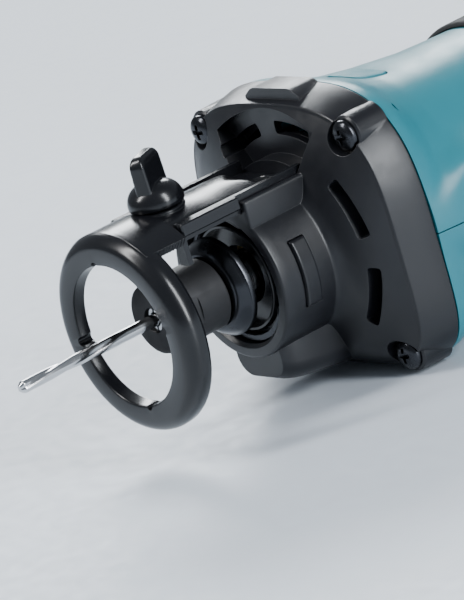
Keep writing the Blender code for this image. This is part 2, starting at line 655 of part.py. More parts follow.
def grip_sleeve(datum):
    """A rubber sleeve round the grip, with ribs and a window for the switch."""
    rings = []
    scale, square = housing_size((SLEEVE_START + SLEEVE_END) / 2)
    base = scale + GAP / BODY_HALF_WIDTH
    swell = SLEEVE_THICKNESS / BODY_HALF_WIDTH
    inner = [(SLEEVE_START, base), (SLEEVE_END - GAP, base)]
    outer = [(SLEEVE_END - GAP, base + swell * 0.6), (SLEEVE_END - 1.6 * mm, base + swell),
             (SLEEVE_START + 1.6 * mm, base + swell), (SLEEVE_START, base + swell * 0.6)]
    for along, size in inner + outer:
        rings.append(body_section(along, size, square, 48))
    sleeve = loft("grip_sleeve", rings, "rubber", datum, closed=True)
    window = block("sleeve_window", (-SLIDER_HALF - 1.6 * mm,
                                     SLIDER_Y - SLIDER_HALF - SLIDER_TRAVEL - 2 * mm, 20 * mm),
                   (SLIDER_HALF + 1.6 * mm, SLIDER_Y + SLIDER_HALF + 2 * mm, 50 * mm), "rubber", datum)
    cut(sleeve, window)
    return sleeve


# ---------------------------------------------------------------- spindle and motor

STATOR_END = STATOR_START + STATOR_LENGTH
REAR_BEARING_Y = STATOR_END + WINDING + 5 * mm
NUT_FRONT = NECK_FACE - NUT_REACH
NUT_BACK = NUT_FRONT + NUT_LENGTH
NOSE_FRONT = NUT_FRONT + 3 * mm
COLLET_RADIUS = 4.6 * mm
SOCKET_END = NOSE_FRONT + 14 * mm
FLANGE_FRONT = NUT_BACK + GAP


def spindle(axis):
    """The shaft from the collet nose to the rear bearing, with holes for the lock pin."""
    profile = [(COLLET_RADIUS + GAP, NOSE_FRONT), (NOSE_RADIUS, NOSE_FRONT),
               (NOSE_RADIUS, FLANGE_FRONT + 4 * mm), (SPINDLE_RADIUS, FLANGE_FRONT + 4 * mm),
               (SPINDLE_RADIUS, REAR_BEARING_Y - 1 * mm), (REAR_JOURNAL, REAR_BEARING_Y - 1 * mm),
               (REAR_JOURNAL, REAR_BEARING_Y + REAR_BEARING_WIDTH + 1 * mm),
               (0, REAR_BEARING_Y + REAR_BEARING_WIDTH + 1 * mm), (0, SOCKET_END + 8 * mm),
               (BIT_RADIUS + GAP, SOCKET_END + 8 * mm), (BIT_RADIUS + GAP, SOCKET_END),
               (COLLET_RADIUS + GAP, SOCKET_END)]
    shaft = turned("spindle_shaft", profile, "steel", axis, 24)
    depth = 4 * mm
    for index, (side, turn) in enumerate(((1, "X"), (-1, "X"), (1, "Z"), (-1, "Z"))):
        ends = sorted((side * depth, side * 8 * mm))
        centre = (LOCK_Y, 0) if turn == "X" else (0, LOCK_Y)
        cut(shaft, rod(f"lock_hole_{index}", PIN_RADIUS + GAP, *ends, "steel", axis, 12, turn, centre))
    dish = [(NOSE_RADIUS + GAP, FLANGE_FRONT), (NUT_RADIUS + 0.4 * mm, FLANGE_FRONT),
            (NUT_RADIUS + 1.4 * mm, FLANGE_FRONT + 1.1 * mm),
            (FLANGE_RADIUS - 0.8 * mm, FLANGE_FRONT + 2.5 * mm), (FLANGE_RADIUS, FLANGE_FRONT + 3.4 * mm),
            (FLANGE_RADIUS, FLANGE_FRONT + 4.6 * mm), (NOSE_RADIUS + GAP, FLANGE_FRONT + 4.6 * mm)]
    turned("spindle_flange", dish, "dark_steel", axis, 40)

    collet_back = SOCKET_END - GAP
    collet = turned("collet", [(BIT_RADIUS + GAP, NUT_FRONT + 0.8 * mm),
                               (COLLET_RADIUS - 1.7 * mm, NUT_FRONT + 0.8 * mm),
                               (COLLET_RADIUS, NOSE_FRONT), (COLLET_RADIUS, collet_back),
                               (BIT_RADIUS + GAP, collet_back)], "steel", axis, 24)
    for turn in (0, 1):
        half = (6 * mm, 0.35 * mm) if turn else (0.35 * mm, 6 * mm)
        cut(collet, block(f"collet_slit_{turn}", (-half[0], NUT_FRONT - 1 * mm, -half[1]),
                          (half[0], SOCKET_END - 5 * mm, half[1]), "steel", axis))


def collet_nut(axis):
    """The nut that closes the collet: round, with six spanner flats."""
    mouth = COLLET_RADIUS - 1.7 * mm + GAP
    profile = [(mouth, NUT_FRONT), (NUT_RADIUS - 0.9 * mm, NUT_FRONT), (NUT_RADIUS, NUT_FRONT + 0.9 * mm),
               (NUT_RADIUS, NUT_BACK), (NOSE_RADIUS + GAP, NUT_BACK),
               (NOSE_RADIUS + GAP, NOSE_FRONT - GAP), (COLLET_RADIUS + GAP, NOSE_FRONT - GAP),
               (mouth, NUT_FRONT + 1 * mm)]
    nut = turned("collet_nut", profile, "dark_steel", axis, 48)
    for index in range(6):
        angle = FULL * index / 6
        corners = [(NUT_FLATS, -6 * mm), (NUT_RADIUS + 3 * mm, -6 * mm), (NUT_RADIUS + 3 * mm, 6 * mm),
                   (NUT_FLATS, 6 * mm)]
        turned_corners = [(a * math.cos(angle) - b * math.sin(angle),
                           a * math.sin(angle) + b * math.cos(angle)) for a, b in corners]
        cut(nut, prism(f"spanner_flat_{index}", turned_corners, NUT_FRONT + 1.8 * mm,
                       NUT_FRONT + 7.6 * mm, "dark_steel", axis))
    return nut


def cutting_bit(axis):
    """A spiral bit: two flutes twist round the front half, and the shank sits in the collet."""
    count = 12
    turns = 1.6
    rings = []
    stations = 30
    for i in range(stations + 1):
        part = i / stations
        along = BIT_TIP + 2 * mm + (BIT_FLUTES - 2 * mm) * part
        twist = FULL * turns * part
        ring = []
        for k in range(count):
            angle = FULL * k / count
            fade = min(1.0, (1 - part) * 6)
            radius = BIT_RADIUS * (1 - 0.34 * fade * math.sin(angle) ** 2)
            ring.append((radius * math.cos(angle + twist), along, radius * math.sin(angle + twist)))
        rings.append(ring)
    tip = [(x * 0.12, BIT_TIP, z * 0.12) for x, _, z in rings[0]]
    twist = FULL * turns
    shank = [[(BIT_RADIUS * math.cos(FULL * k / count + twist), along,
               BIT_RADIUS * math.sin(FULL * k / count + twist)) for k in range(count)]
             for along in (SOCKET_END + 6 * mm,)]
    return loft("cutting_bit", [tip] + rings + shank, "steel", axis)


def bearing(name, shaft, radius, width, front, root, axis):
    """A ball bearing as its two rings: the inner one turns with the shaft."""
    shield = shaft + RACE + 2 * GAP
    pipe(name + "_outer", radius - RACE, radius, front, front + width, "steel", root, 36)
    pipe(name + "_inner", shaft + GAP / 2, shaft + RACE, front, front + width, "steel", axis, 24)
    pipe(name + "_cage", shield, radius - RACE - GAP, front + 1 * mm, front + width - 1 * mm, "brass",
         root, 24)


def motor(root, axis):
    """The stator with its winding ends, the rotor on the shaft, the fan and the rear bearing plate."""
    stator = pipe("stator_core", STATOR_BORE, STATOR_RADIUS, STATOR_START, STATOR_END, "dark_steel", root,
                  48)
    for index in range(6):
        angle = FULL * (index + 0.5) / 6
        half = 2.2 * mm
        corners = [(STATOR_BORE - 1 * mm, -half), (STATOR_RADIUS - 4 * mm, -half),
                   (STATOR_RADIUS - 4 * mm, half), (STATOR_BORE - 1 * mm, half)]
        points = [(a * math.cos(angle) - b * math.sin(angle), a * math.sin(angle) + b * math.cos(angle))
                  for a, b in corners]
        cut(stator, prism(f"stator_slot_{index}", points, STATOR_START - 1 * mm, STATOR_END + 1 * mm,
                          "dark_steel", root))
    for name, low, high in (("winding_front", STATOR_START - WINDING + 1 * mm, STATOR_START - GAP),
                            ("winding_rear", STATOR_END + GAP, STATOR_END + WINDING)):
        inner, outer, round_edge = STATOR_BORE + 0.6 * mm, STATOR_RADIUS - 2.6 * mm, 1.8 * mm
        turned(name, [(inner, low + round_edge), (inner + round_edge, low), (outer - round_edge, low),
                      (outer, low + round_edge), (outer, high - round_edge), (outer - round_edge, high),
                      (inner + round_edge, high), (inner, high - round_edge)], "copper", root, 36)
    pipe("rotor_core", SPINDLE_RADIUS + GAP / 2, STATOR_BORE - 2 * GAP, STATOR_START + 1 * mm,
         STATOR_END - 1 * mm, "dark_steel", axis, 36)

    hub = [(SPINDLE_RADIUS + GAP / 2, -CHAMBER_DEPTH + 0.8 * mm), (FAN_RADIUS, -CHAMBER_DEPTH + 0.8 * mm),
           (FAN_RADIUS, -CHAMBER_DEPTH + 2.2 * mm), (10 * mm, -CHAMBER_DEPTH + 2.2 * mm),
           (9 * mm, 2.5 * mm), (SPINDLE_RADIUS + GAP / 2, 2.5 * mm)]
    fan = turned("cooling_fan", hub, "black", axis, 36)
    for index in range(FAN_BLADES):
        angle = FULL * index / FAN_BLADES
        corners = [(9.6 * mm, -0.6 * mm), (FAN_RADIUS - 0.6 * mm, 3.4 * mm),
                   (FAN_RADIUS - 0.9 * mm, 4.6 * mm), (9.4 * mm, 0.7 * mm)]
        points = [(a * math.cos(angle) - b * math.sin(angle), a * math.sin(angle) + b * math.cos(angle))
                  for a, b in corners]
        join(fan, prism(f"fan_blade_{index}", points, -CHAMBER_DEPTH + 1.8 * mm, 2.2 * mm, "black", axis))

    bearing("front_bearing", SPINDLE_RADIUS, FRONT_BEARING_RADIUS, FRONT_BEARING_WIDTH, BEARING_FRONT,
            root, axis)
    bearing("rear_bearing", REAR_JOURNAL, REAR_BEARING_RADIUS, REAR_BEARING_WIDTH, REAR_BEARING_Y, root,
            axis)
    seat_low, seat_high = REAR_BEARING_Y - 0.4 * mm, REAR_BEARING_Y + REAR_BEARING_WIDTH + 2 * mm
    inner = REAR_BEARING_RADIUS + GAP
    plate = turned("bearing_plate", [(inner, seat_low), (inner + 2.4 * mm, seat_low),
                                     (inner + 2.6 * mm, seat_low + 3.6 * mm),
                                     (GRIP_RADIUS - WALL - 0.4 * mm - GAP, seat_low + 3.6 * mm),
                                     (GRIP_RADIUS - WALL - 0.4 * mm - GAP, seat_high),
                                     (REAR_JOURNAL + 1.4 * mm, seat_high),
                                     (REAR_JOURNAL + 1.4 * mm, seat_high - 1.4 * mm),
                                     (inner, seat_high - 1.4 * mm)], "black", root, 40)
    for index in range(4):
        cut(plate, arc_block(f"plate_window_{index}", 16 * mm, 24.5 * mm, 15 + 90 * index,
                             75 + 90 * index, seat_low - 2 * mm, seat_high + 2 * mm, root, 4))


# ---------------------------------------------------------------- depth shoe and clamp

def crown(half_width, crest, bottom, lip_bottom, lip, along, steps=10):
    """The arm's section: a curved top over a flat underside, with a lip down each side."""
    centre = crest - ARM_CURVE
    limit = math.asin(half_width / ARM_CURVE)
    points = []
    for i in range(steps + 1):
        angle = -limit + 2 * limit * i / steps
        points.append((ARM_CURVE * math.sin(angle), along, centre + ARM_CURVE * math.cos(angle)))
    inner = half_width - lip
    points += [(half_width, along, lip_bottom), (inner, along, lip_bottom), (inner, along, bottom),
               (-inner, along, bottom), (-inner, along, lip_bottom), (-half_width, along, lip_bottom)]
    return points


ARM_UNDERSIDE = GUIDE_SEAT + GAP + GUIDE_FLOOR + GAP
KNOB_SEAT = SKIRT_CREST + 0.1 * mm
ARM_REAR = NECK_FACE + 11 * mm


def depth_shoe(root):
    """The ring that rests on the work, its skirt, and the arm that slides in the guide."""
    skirt_rear = GUIDE_FRONT - 2 * GAP
    back = RING_FACE + RING_DEPTH
    plate_back = RING_FACE + RING_PLATE
    profile = [(RING_BORE, RING_FACE + 0.5 * mm), (RING_BORE + 0.5 * mm, RING_FACE),
               (RING_RADIUS - 3.4 * mm, RING_FACE), (RING_RADIUS - 1.6 * mm, RING_FACE + 0.5 * mm),
               (RING_RADIUS - 0.4 * mm, RING_FACE + 1.7 * mm), (RING_RADIUS, RING_FACE + 3.4 * mm),
               (RING_RADIUS - 0.1 * mm, back - 0.8 * mm), (RING_RADIUS - 0.8 * mm, back),
               (RING_RADIUS - 2 * mm, back), (RING_RADIUS - 2.6 * mm, plate_back + 1 * mm),
               (RING_RADIUS - 3.8 * mm, plate_back), (RING_BORE, plate_back)]
    shoe = turned("depth_shoe", profile, "black", root, 48)
    # sections are kept off the guide's tongue, which reaches under the skirt
    lip_bottom = ARM_UNDERSIDE - 1.9 * mm
    skirt = loft("shoe_skirt",
                 [crown(SKIRT_HALF_WIDTH, SKIRT_CREST, ARM_UNDERSIDE, lip_bottom, 1.7 * mm, along)
                  for along in (RING_FACE + 2.2 * mm, skirt_rear)], "black", root)
    mid = KNOB_Y + 1 * mm
    narrow = []
    for along, crest in ((skirt_rear - 2 * mm, SKIRT_CREST - 0.05 * mm),
                         (mid - 5 * mm, SKIRT_CREST - 0.1 * mm), (mid + 4 * mm, ARM_CREST),
                         (ARM_REAR - 1 * mm, ARM_CREST), (ARM_REAR, ARM_CREST - 0.8 * mm)):
        narrow.append(crown(ARM_HALF_WIDTH, crest, ARM_UNDERSIDE + 0.01 * mm, ARM_UNDERSIDE, 1.0 * mm,
                            along))
    arm = loft("shoe_arm", narrow, "black", root)
    seat = turned("knob_seat", [(0, ARM_UNDERSIDE + 0.5 * mm),
                                (KNOB_RADIUS + 0.7 * mm, ARM_UNDERSIDE + 0.5 * mm),
                                (KNOB_RADIUS + 0.3 * mm, KNOB_SEAT - 0.5 * mm),
                                (KNOB_RADIUS - 0.2 * mm, KNOB_SEAT), (0, KNOB_SEAT)], "black", root, 28,
                  "Z", (0, KNOB_Y))
    join(shoe, skirt, arm, seat)
    # the tongue and the clamp plate reach into the skirt, so its inside is cleared up to the ring's plate
    clear = block("skirt_clearance", (-SKIRT_HALF_WIDTH + 1.7 * mm, plate_back, RING_BORE - 2 * mm),
                  (SKIRT_HALF_WIDTH - 1.7 * mm, skirt_rear + 1 * mm, ARM_UNDERSIDE), "black", root)
    cut(shoe, clear, rod("bolt_hole", BOLT_RADIUS + GAP, 10 * mm, 40 * mm, "black", root, 16, "Z",
                         (0, KNOB_Y)))
    notch = 1.1 * mm
    for index in range(4):
        angle = math.radians(8 + 90 * index)
        place = ((RING_BORE + 0.1 * mm) * math.cos(angle), (RING_BORE + 0.1 * mm) * math.sin(angle))
        cut(shoe, rod(f"ring_notch_{index}", notch, RING_FACE - 1 * mm, plate_back + 1 * mm, "black",
                      root, 10, "Y", place))
    return shoe


CLAMP_PLATE_TOP = GUIDE_SEAT
CLAMP_PLATE_THICKNESS = 1.9 * mm


def clamp(root, knob_axis):
    """The wing knob with its screw, and the threaded plate that they draw up under the guide."""
    plate = block("clamp_plate", (-4.6 * mm, KNOB_Y - 4.6 * mm, CLAMP_PLATE_TOP - CLAMP_PLATE_THICKNESS),
                  (4.6 * mm, KNOB_Y + 4.6 * mm, CLAMP_PLATE_TOP), "steel", root)
    cut(plate, rod("clamp_plate_hole", BOLT_RADIUS + GAP, 0, 30 * mm, "steel", root, 16, "Z", (0, KNOB_Y)))
    base = KNOB_SEAT + GAP
    bolt_top = base + 6 * mm
    rod("clamp_bolt", BOLT_RADIUS, CLAMP_PLATE_TOP - CLAMP_PLATE_THICKNESS - 0.4 * mm, bolt_top, "steel",
        knob_axis, 16, "Z")
    dome = turned("wing_knob", [(0, base), (KNOB_RADIUS - 0.6 * mm, base), (KNOB_RADIUS, base + 0.7 * mm),
                                (KNOB_RADIUS, base + 1.8 * mm), (KNOB_RADIUS - 0.8 * mm, base + 4.2 * mm),
                                (KNOB_RADIUS - 2.6 * mm, base + 6 * mm), (0, base + 6.8 * mm)], "black",
                  knob_axis, 28, "Z")
    turn = math.radians(KNOB_ANGLE)
    rings = []
    for lift, half_long, half_thick in ((0.8 * mm, 5.9 * mm, 2.3 * mm), (5 * mm, 5.9 * mm, 2.2 * mm),
                                        (KNOB_HEIGHT - 3.2 * mm, 5.6 * mm, 2.0 * mm),
                                        (KNOB_HEIGHT - 0.8 * mm, 4.9 * mm, 1.7 * mm),
                                        (KNOB_HEIGHT, 3.6 * mm, 0.9 * mm)):
        shape = rounded_rectangle(half_thick, half_long, half_thick * 0.8, (0, 0), 3)
        rings.append([(x * math.cos(turn) - y * math.sin(turn), x * math.sin(turn) + y * math.cos(turn),
                       base + lift) for x, y in shape])
    join(dome, loft("knob_wing", rings, "black", knob_axis))
    cut(dome, rod("knob_socket", BOLT_RADIUS + GAP, base - 1 * mm, bolt_top + GAP, "black", knob_axis, 16,
                  "Z"))


# ---------------------------------------------------------------- controls

def shaft_lock(root):
    """The button on the neck's side that drives a pin into the spindle, with its spring."""
    outer = NECK_RADIUS + LOCK_PROUD
    inner = LOCK_FLOOR + LOCK_TRAVEL + 0.5 * mm
    reach = LOCK_HALF_HEIGHT
    steps = 8
    points = [(inner, -reach)]
    for i in range(steps + 1):
        z = -reach + 2 * reach * i / steps
        points.append((math.sqrt(outer ** 2 - z ** 2), z))
    points.append((inner, reach))
    button = prism("shaft_lock_button", points, LOCK_Y - LOCK_HALF_WIDTH, LOCK_Y + LOCK_HALF_WIDTH,
                   "black", root)
    pin_end = 19 * mm
    cut(button, rod("lock_button_socket", PIN_RADIUS + GAP, inner - 1 * mm, pin_end + GAP, "black", root,
                    16, "X", (LOCK_Y, 0)))
    rod("shaft_lock_pin", PIN_RADIUS, SPINDLE_RADIUS + 0.9 * mm, pin_end, "steel", root, 16, "X",
        (LOCK_Y, 0))
    ring_radius = PIN_RADIUS + GAP / 2
    pipe("shaft_lock_spring", ring_radius + 0.05 * mm, ring_radius + 0.4 * mm, LOCK_FLOOR + GAP / 3,
         inner - GAP / 3, "steel", root, 16, "X", (LOCK_Y, 0))


def switch(root):
    """The slide on top of the grip, the switch under it, and the control board."""
    top = surface_height(SLIDER_Y, 0)
    slider = block("switch_slider", (-SLIDER_HALF, SLIDER_Y - SLIDER_HALF, top + GAP),
                   (SLIDER_HALF, SLIDER_Y + SLIDER_HALF, top + 3.4 * mm), "black", root, 0.8 * mm, 2)
    stem = block("slider_stem", (-SLOT_HALF_WIDTH + GAP, SLIDER_Y - 4 * mm, top - 5 * mm),
                 (SLOT_HALF_WIDTH - GAP, SLIDER_Y + 3 * mm, top + 2 * mm), "black", root)
    join(slider, stem)
    for index in range(4):
        along = SLIDER_Y - 4.4 * mm + index * 2.6 * mm
        cut(slider, block(f"slider_groove_{index}", (-SLIDER_HALF - 1 * mm, along, top + 2.7 * mm),
                          (SLIDER_HALF + 1 * mm, along + 1.1 * mm, top + 6 * mm), "black", root))
    low = REAR_BEARING_Y + REAR_BEARING_WIDTH + 3 * mm
    block("switch_module", (-8 * mm, low, top - 14 * mm), (8 * mm, low + 15 * mm, top - 7 * mm), "black",
          root, 0.5 * mm, 1)
    block("control_board", (-14 * mm, low + 4 * mm, -8 * mm), (14 * mm, low + 46 * mm, -6.4 * mm),
          "board", root)
    block("board_heat_sink", (-11 * mm, low + 8 * mm, -6.1 * mm), (11 * mm, low + 30 * mm, -1 * mm),
          "steel", root, 0.5 * mm, 1)


# ---------------------------------------------------------------- battery

BATTERY_BOTTOM = -AXIS_HEIGHT
BATTERY_TOP = BATTERY_BOTTOM + BATTERY_LENGTH
CASE_SPLIT = BATTERY_FACE + 9 * mm
CASE_WALL = 2.4 * mm
RAIL_BOTTOM = BATTERY_BOTTOM + 6 * mm
BLADE_X = 9 * mm
RAIL_TOP = BODY_TOP - 3 * mm
LATCH_HEIGHT = 12 * mm
LATCH_LOW = (BODY_TOP + BATTERY_TOP - LATCH_HEIGHT) / 2
LATCH_HIGH = LATCH_LOW + LATCH_HEIGHT
LATCH_HALF = 10 * mm


def case_outline(inset):
    """The battery's outline seen from the front, in X and Z."""
    half_z = BATTERY_LENGTH / 2
    return rounded_rectangle(BATTERY_HALF_WIDTH - inset, half_z - inset, 7 * mm - inset,
                             (0, BATTERY_BOTTOM + half_z), 5)


def battery(root):
    """The slide-on battery: two case halves, five cells, and a latch button."""
    front = loft("battery_case_front", [[(x, y, z) for x, z in case_outline(inset)] for y,
                                        inset in ((BATTERY_FACE, 1 * mm), (BATTERY_FACE + 1 * mm, 0),
                                                  (CASE_SPLIT - GAP, 0))], "black", root)
    half, lip = RAIL_HALF_WIDTH - GAP, RAIL_HALF_WIDTH - 4 * mm - GAP
    deep, mid, end = BATTERY_FACE - RAIL_DEPTH, HOUSING_LENGTH - RAIL_DEPTH / 2 - GAP, BATTERY_FACE + 3 * mm
    shape = [(-half, deep), (half, deep), (half, mid), (lip, mid), (lip, end), (-lip, end), (-lip, mid),
             (-half, mid)]
    rail_bottom = RAIL_BOTTOM + 9 * mm
    join(front, prism("battery_rail", shape, rail_bottom, RAIL_TOP, "black", root, "Z"))
    cut(front, block("case_hollow_front",
                     (-BATTERY_HALF_WIDTH + CASE_WALL, BATTERY_FACE + CASE_WALL,
                      BATTERY_BOTTOM + CASE_WALL), (BATTERY_HALF_WIDTH - CASE_WALL, CASE_SPLIT + 1 * mm,
                                                    BATTERY_TOP - CASE_WALL), "black", root))
    for side in (-1, 1):
        cut(front, block(f"blade_slot_{side}",
                         (side * BLADE_X - 1 * mm, deep - 1 * mm, rail_bottom - 1 * mm),
                         (side * BLADE_X + 1 * mm, BATTERY_FACE - 1 * mm, rail_bottom + 16 * mm), "black",
                         root))
    cut(front, block("latch_window", (-LATCH_HALF - GAP, BATTERY_FACE - 1 * mm, LATCH_LOW - GAP),
                     (LATCH_HALF + GAP, BATTERY_FACE + CASE_WALL + 1 * mm, LATCH_HIGH + GAP), "black",
                     root))

    rear = loft("battery_case_rear", [[(x, y, z) for x, z in case_outline(inset)] for y,
                                      inset in ((CASE_SPLIT, 0), (BATTERY_BACK - 3 * mm, 0),
                                                (BATTERY_BACK - 0.9 * mm, 1 * mm),
                                                (BATTERY_BACK, 3 * mm))], "black", root)
    cut(rear, block("case_hollow_rear", (-BATTERY_HALF_WIDTH + CASE_WALL, CASE_SPLIT - 1 * mm,
                                         BATTERY_BOTTOM + CASE_WALL),
                    (BATTERY_HALF_WIDTH - CASE_WALL, BATTERY_BACK - CASE_WALL, BATTERY_TOP - CASE_WALL),
                    "black", root))
    pitch = (BATTERY_LENGTH - 2 * CASE_WALL - 2 * CELL_RADIUS - 2 * mm) / (CELL_COUNT - 1)
    cell_y = (CASE_SPLIT + BATTERY_BACK) / 2 + 1 * mm
    for index in range(CELL_COUNT):
        z = BATTERY_BOTTOM + CASE_WALL + CELL_RADIUS + 1 * mm + pitch * index
        rod(f"battery_cell_{index + 1}", CELL_RADIUS, -CELL_LENGTH / 2, CELL_LENGTH / 2, "cell", root, 20,
            "X", (cell_y, z))
    latch = block("battery_latch", (-LATCH_HALF, BATTERY_FACE - 1.6 * mm, LATCH_LOW),
                  (LATCH_HALF, BATTERY_FACE + CASE_WALL + 0.6 * mm, LATCH_HIGH), "black", root, 0.7 * mm,
                  1)
    rim = block("latch_rim", (-LATCH_HALF - 1.5 * mm, BATTERY_FACE + CASE_WALL + GAP,
                              LATCH_LOW - 1.5 * mm), (LATCH_HALF + 1.5 * mm,
                                                      BATTERY_FACE + CASE_WALL + 1.6 * mm,
                                                      LATCH_HIGH + 1.5 * mm), "black", root)
    join(latch, rim)


def terminals(root):
    """The tool's contact block and its two blades, which stand up into the battery's slots."""
    deep = HOUSING_LENGTH - RAIL_DEPTH + GAP
    bottom = RAIL_BOTTOM + GAP
    block("terminal_block", (-RAIL_HALF_WIDTH + 5 * mm, deep, bottom),
          (RAIL_HALF_WIDTH - 5 * mm, HOUSING_LENGTH - GAP, bottom + 7.4 * mm), "black", root)
    for index, side in enumerate((-1, 1)):
        block(f"terminal_blade_{index + 1}",
              (side * BLADE_X - 0.4 * mm, deep + 1 * mm, bottom + 7.4 * mm + GAP / 3),
              (side * BLADE_X + 0.4 * mm, HOUSING_LENGTH - 2 * mm, bottom + 20 * mm), "brass", root)


# ---------------------------------------------------------------- assembly

def build():
    for thing in list(bpy.data.objects):
        bpy.data.objects.remove(thing, do_unlink=True)
    axis = empty("spindle_axis", (0, DATUM_Y, AXIS_HEIGHT))
    knob_axis = empty("knob_axis", (0, KNOB_Y, 0), axis)
    front_cover(axis)
    for index, place in enumerate(cover_screw_places()):
        screw(f"cover_screw_{index + 1}", place, -COVER_DEPTH - HEAD_HEIGHT + 2 * mm - GAP / 3, 14 * mm,
              axis)
    collar_parts(axis)
    guide_bracket(axis)
    bracket_screws(axis)
    housing(axis)
    for index, place in enumerate(housing_screw_places()):
        screw(f"housing_screw_{index + 1}", place, HOUSING_SCREW_SEAT - HEAD_HEIGHT - GAP / 3, 25 * mm,
              axis, "Z")
    thumb_pad(axis)
    grip_sleeve(axis)
    spindle(axis)
    collet_nut(axis)
    cutting_bit(axis)
    motor(axis, axis)
    depth_shoe(axis)
    clamp(axis, knob_axis)
    shaft_lock(axis)
    switch(axis)
    terminals(axis)
    battery(axis)


build()
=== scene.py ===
# %% [markdown]
# # A cordless cut-out router
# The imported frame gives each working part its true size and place. This lesson dresses it: moulded covers,
# a rubber grip, turned steel and a spiral bit. Lengths below are millimetres in the tool's own frame: X to the
# right, Y along the spindle with the bit at -Y, Z up, and zero on the spindle at the cover joint.

import json
import math

import bmesh
import bpy
import numpy as np
from mathutils import Matrix, Vector


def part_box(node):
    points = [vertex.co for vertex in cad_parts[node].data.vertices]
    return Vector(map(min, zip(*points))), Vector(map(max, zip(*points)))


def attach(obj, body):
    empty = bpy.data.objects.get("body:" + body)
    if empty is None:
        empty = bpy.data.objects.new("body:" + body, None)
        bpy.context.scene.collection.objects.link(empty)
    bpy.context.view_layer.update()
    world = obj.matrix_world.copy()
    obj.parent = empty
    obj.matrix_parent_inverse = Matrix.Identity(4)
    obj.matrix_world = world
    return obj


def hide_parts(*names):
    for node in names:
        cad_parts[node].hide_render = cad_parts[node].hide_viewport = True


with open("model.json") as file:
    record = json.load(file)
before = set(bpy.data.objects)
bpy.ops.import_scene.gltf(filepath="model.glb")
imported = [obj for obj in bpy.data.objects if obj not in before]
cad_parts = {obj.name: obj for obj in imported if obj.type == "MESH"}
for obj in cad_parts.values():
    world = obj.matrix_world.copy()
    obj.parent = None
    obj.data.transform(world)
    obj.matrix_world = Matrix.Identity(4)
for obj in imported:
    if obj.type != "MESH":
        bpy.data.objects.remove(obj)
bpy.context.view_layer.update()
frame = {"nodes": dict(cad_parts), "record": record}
joint_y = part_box("housing_upper")[0][1]
axis_z = (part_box("collet_nut")[0][2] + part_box("collet_nut")[1][2]) / 2
ORIGIN = np.array([0.0, joint_y, axis_z])
MM = 0.001
print("cover joint at", round(joint_y, 4), "spindle height", round(axis_z, 4))


def span(node):
    """A CAD node's lowest and highest corners in the tool's frame, in millimetres."""
    low, high = (np.array(corner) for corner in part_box(node))
    return (low - ORIGIN) / MM, (high - ORIGIN) / MM


# %% [markdown]
# ## Surfaces from arrays
# A moulded or turned piece is a grid of points: one direction runs round or across it, the other along it.
# Working the whole grid out at once keeps the shape a formula, so it can be made as fine as the light needs.
# A closed grid is a solid, and a solid can be cut by another with a Boolean.

# %% Grid to mesh
def solid(name, grid, wrap_rows=False, cap=True):
    """A mesh from a grid of shape (rows, columns, 3). Columns always close on themselves.

    Rows close too when wrap_rows is set, and otherwise the first and last rows are capped with one face each.
    """
    rows, columns = grid.shape[:2]
    row = np.arange(rows if wrap_rows else rows - 1)[:, None]
    column = np.arange(columns)[None, :]
    next_row, next_column = (row + 1) % rows, (column + 1) % columns
    corners = [row * columns + column, row * columns + next_column, next_row * columns + next_column,
               next_row * columns + column]
    faces = np.stack([np.broadcast_to(c, (len(row), columns)) for c in corners], -1).reshape(-1, 4).tolist()
    if cap and not wrap_rows:
        faces += [list(range(columns)), list(range((rows - 1) * columns, rows * columns))]
    mesh = bpy.data.meshes.new(name)
    mesh.from_pydata((grid.reshape(-1, 3) * MM + ORIGIN).tolist(), [], faces)
    piece = bpy.data.objects.new(name, mesh)
    bpy.context.scene.collection.objects.link(piece)
    tidy(piece)
    return piece


def tidy(piece, smooth=38):
    """Merges doubles, points faces outwards and shades the curves smooth."""
    work = bmesh.new()
    work.from_mesh(piece.data)
    bmesh.ops.remove_doubles(work, verts=work.verts, dist=0.002 * MM)
    bmesh.ops.dissolve_degenerate(work, edges=work.edges, dist=0.002 * MM)
    bmesh.ops.recalc_face_normals(work, faces=work.faces)
    work.to_mesh(piece.data)
    work.free()
    piece.data.shade_smooth()
    piece.data.set_sharp_from_angle(angle=math.radians(smooth))


def carve(target, tools, operation="DIFFERENCE"):
    """Cuts the tools from the target, or joins them to it, and leaves one finished mesh."""
    for tool in tools:
        step = target.modifiers.new("step", "BOOLEAN")
        step.operation, step.object, step.solver = operation, tool, "EXACT"
    graph = bpy.context.evaluated_depsgraph_get()
    mesh = bpy.data.meshes.new_from_object(target.evaluated_get(graph))
    target.modifiers.clear()
    target.data = mesh
    for tool in tools:
        bpy.data.objects.remove(tool, do_unlink=True)
    tidy(target)


TURN = 2 * math.pi


def turned(name, profile, axis="Y", centre=(0, 0), count=96):
    """A turned piece: each (radius, along) of a closed profile swept round the axis.

    The centre is where the axis stands in the other two directions.
    """
    radius, along = np.array(profile, float).T
    angle = np.arange(count) * TURN / count
    across = centre[0] + radius[:, None] * np.cos(angle)
    up = centre[1] + radius[:, None] * np.sin(angle)
    parts = {"X": (along[:, None] + 0 * across, across, up),
             "Y": (across, along[:, None] + 0 * across, up),
             "Z": (across, up, along[:, None] + 0 * across)}[axis]
    return solid(name, np.stack(parts, -1), wrap_rows=min(radius) > 0, cap=False)


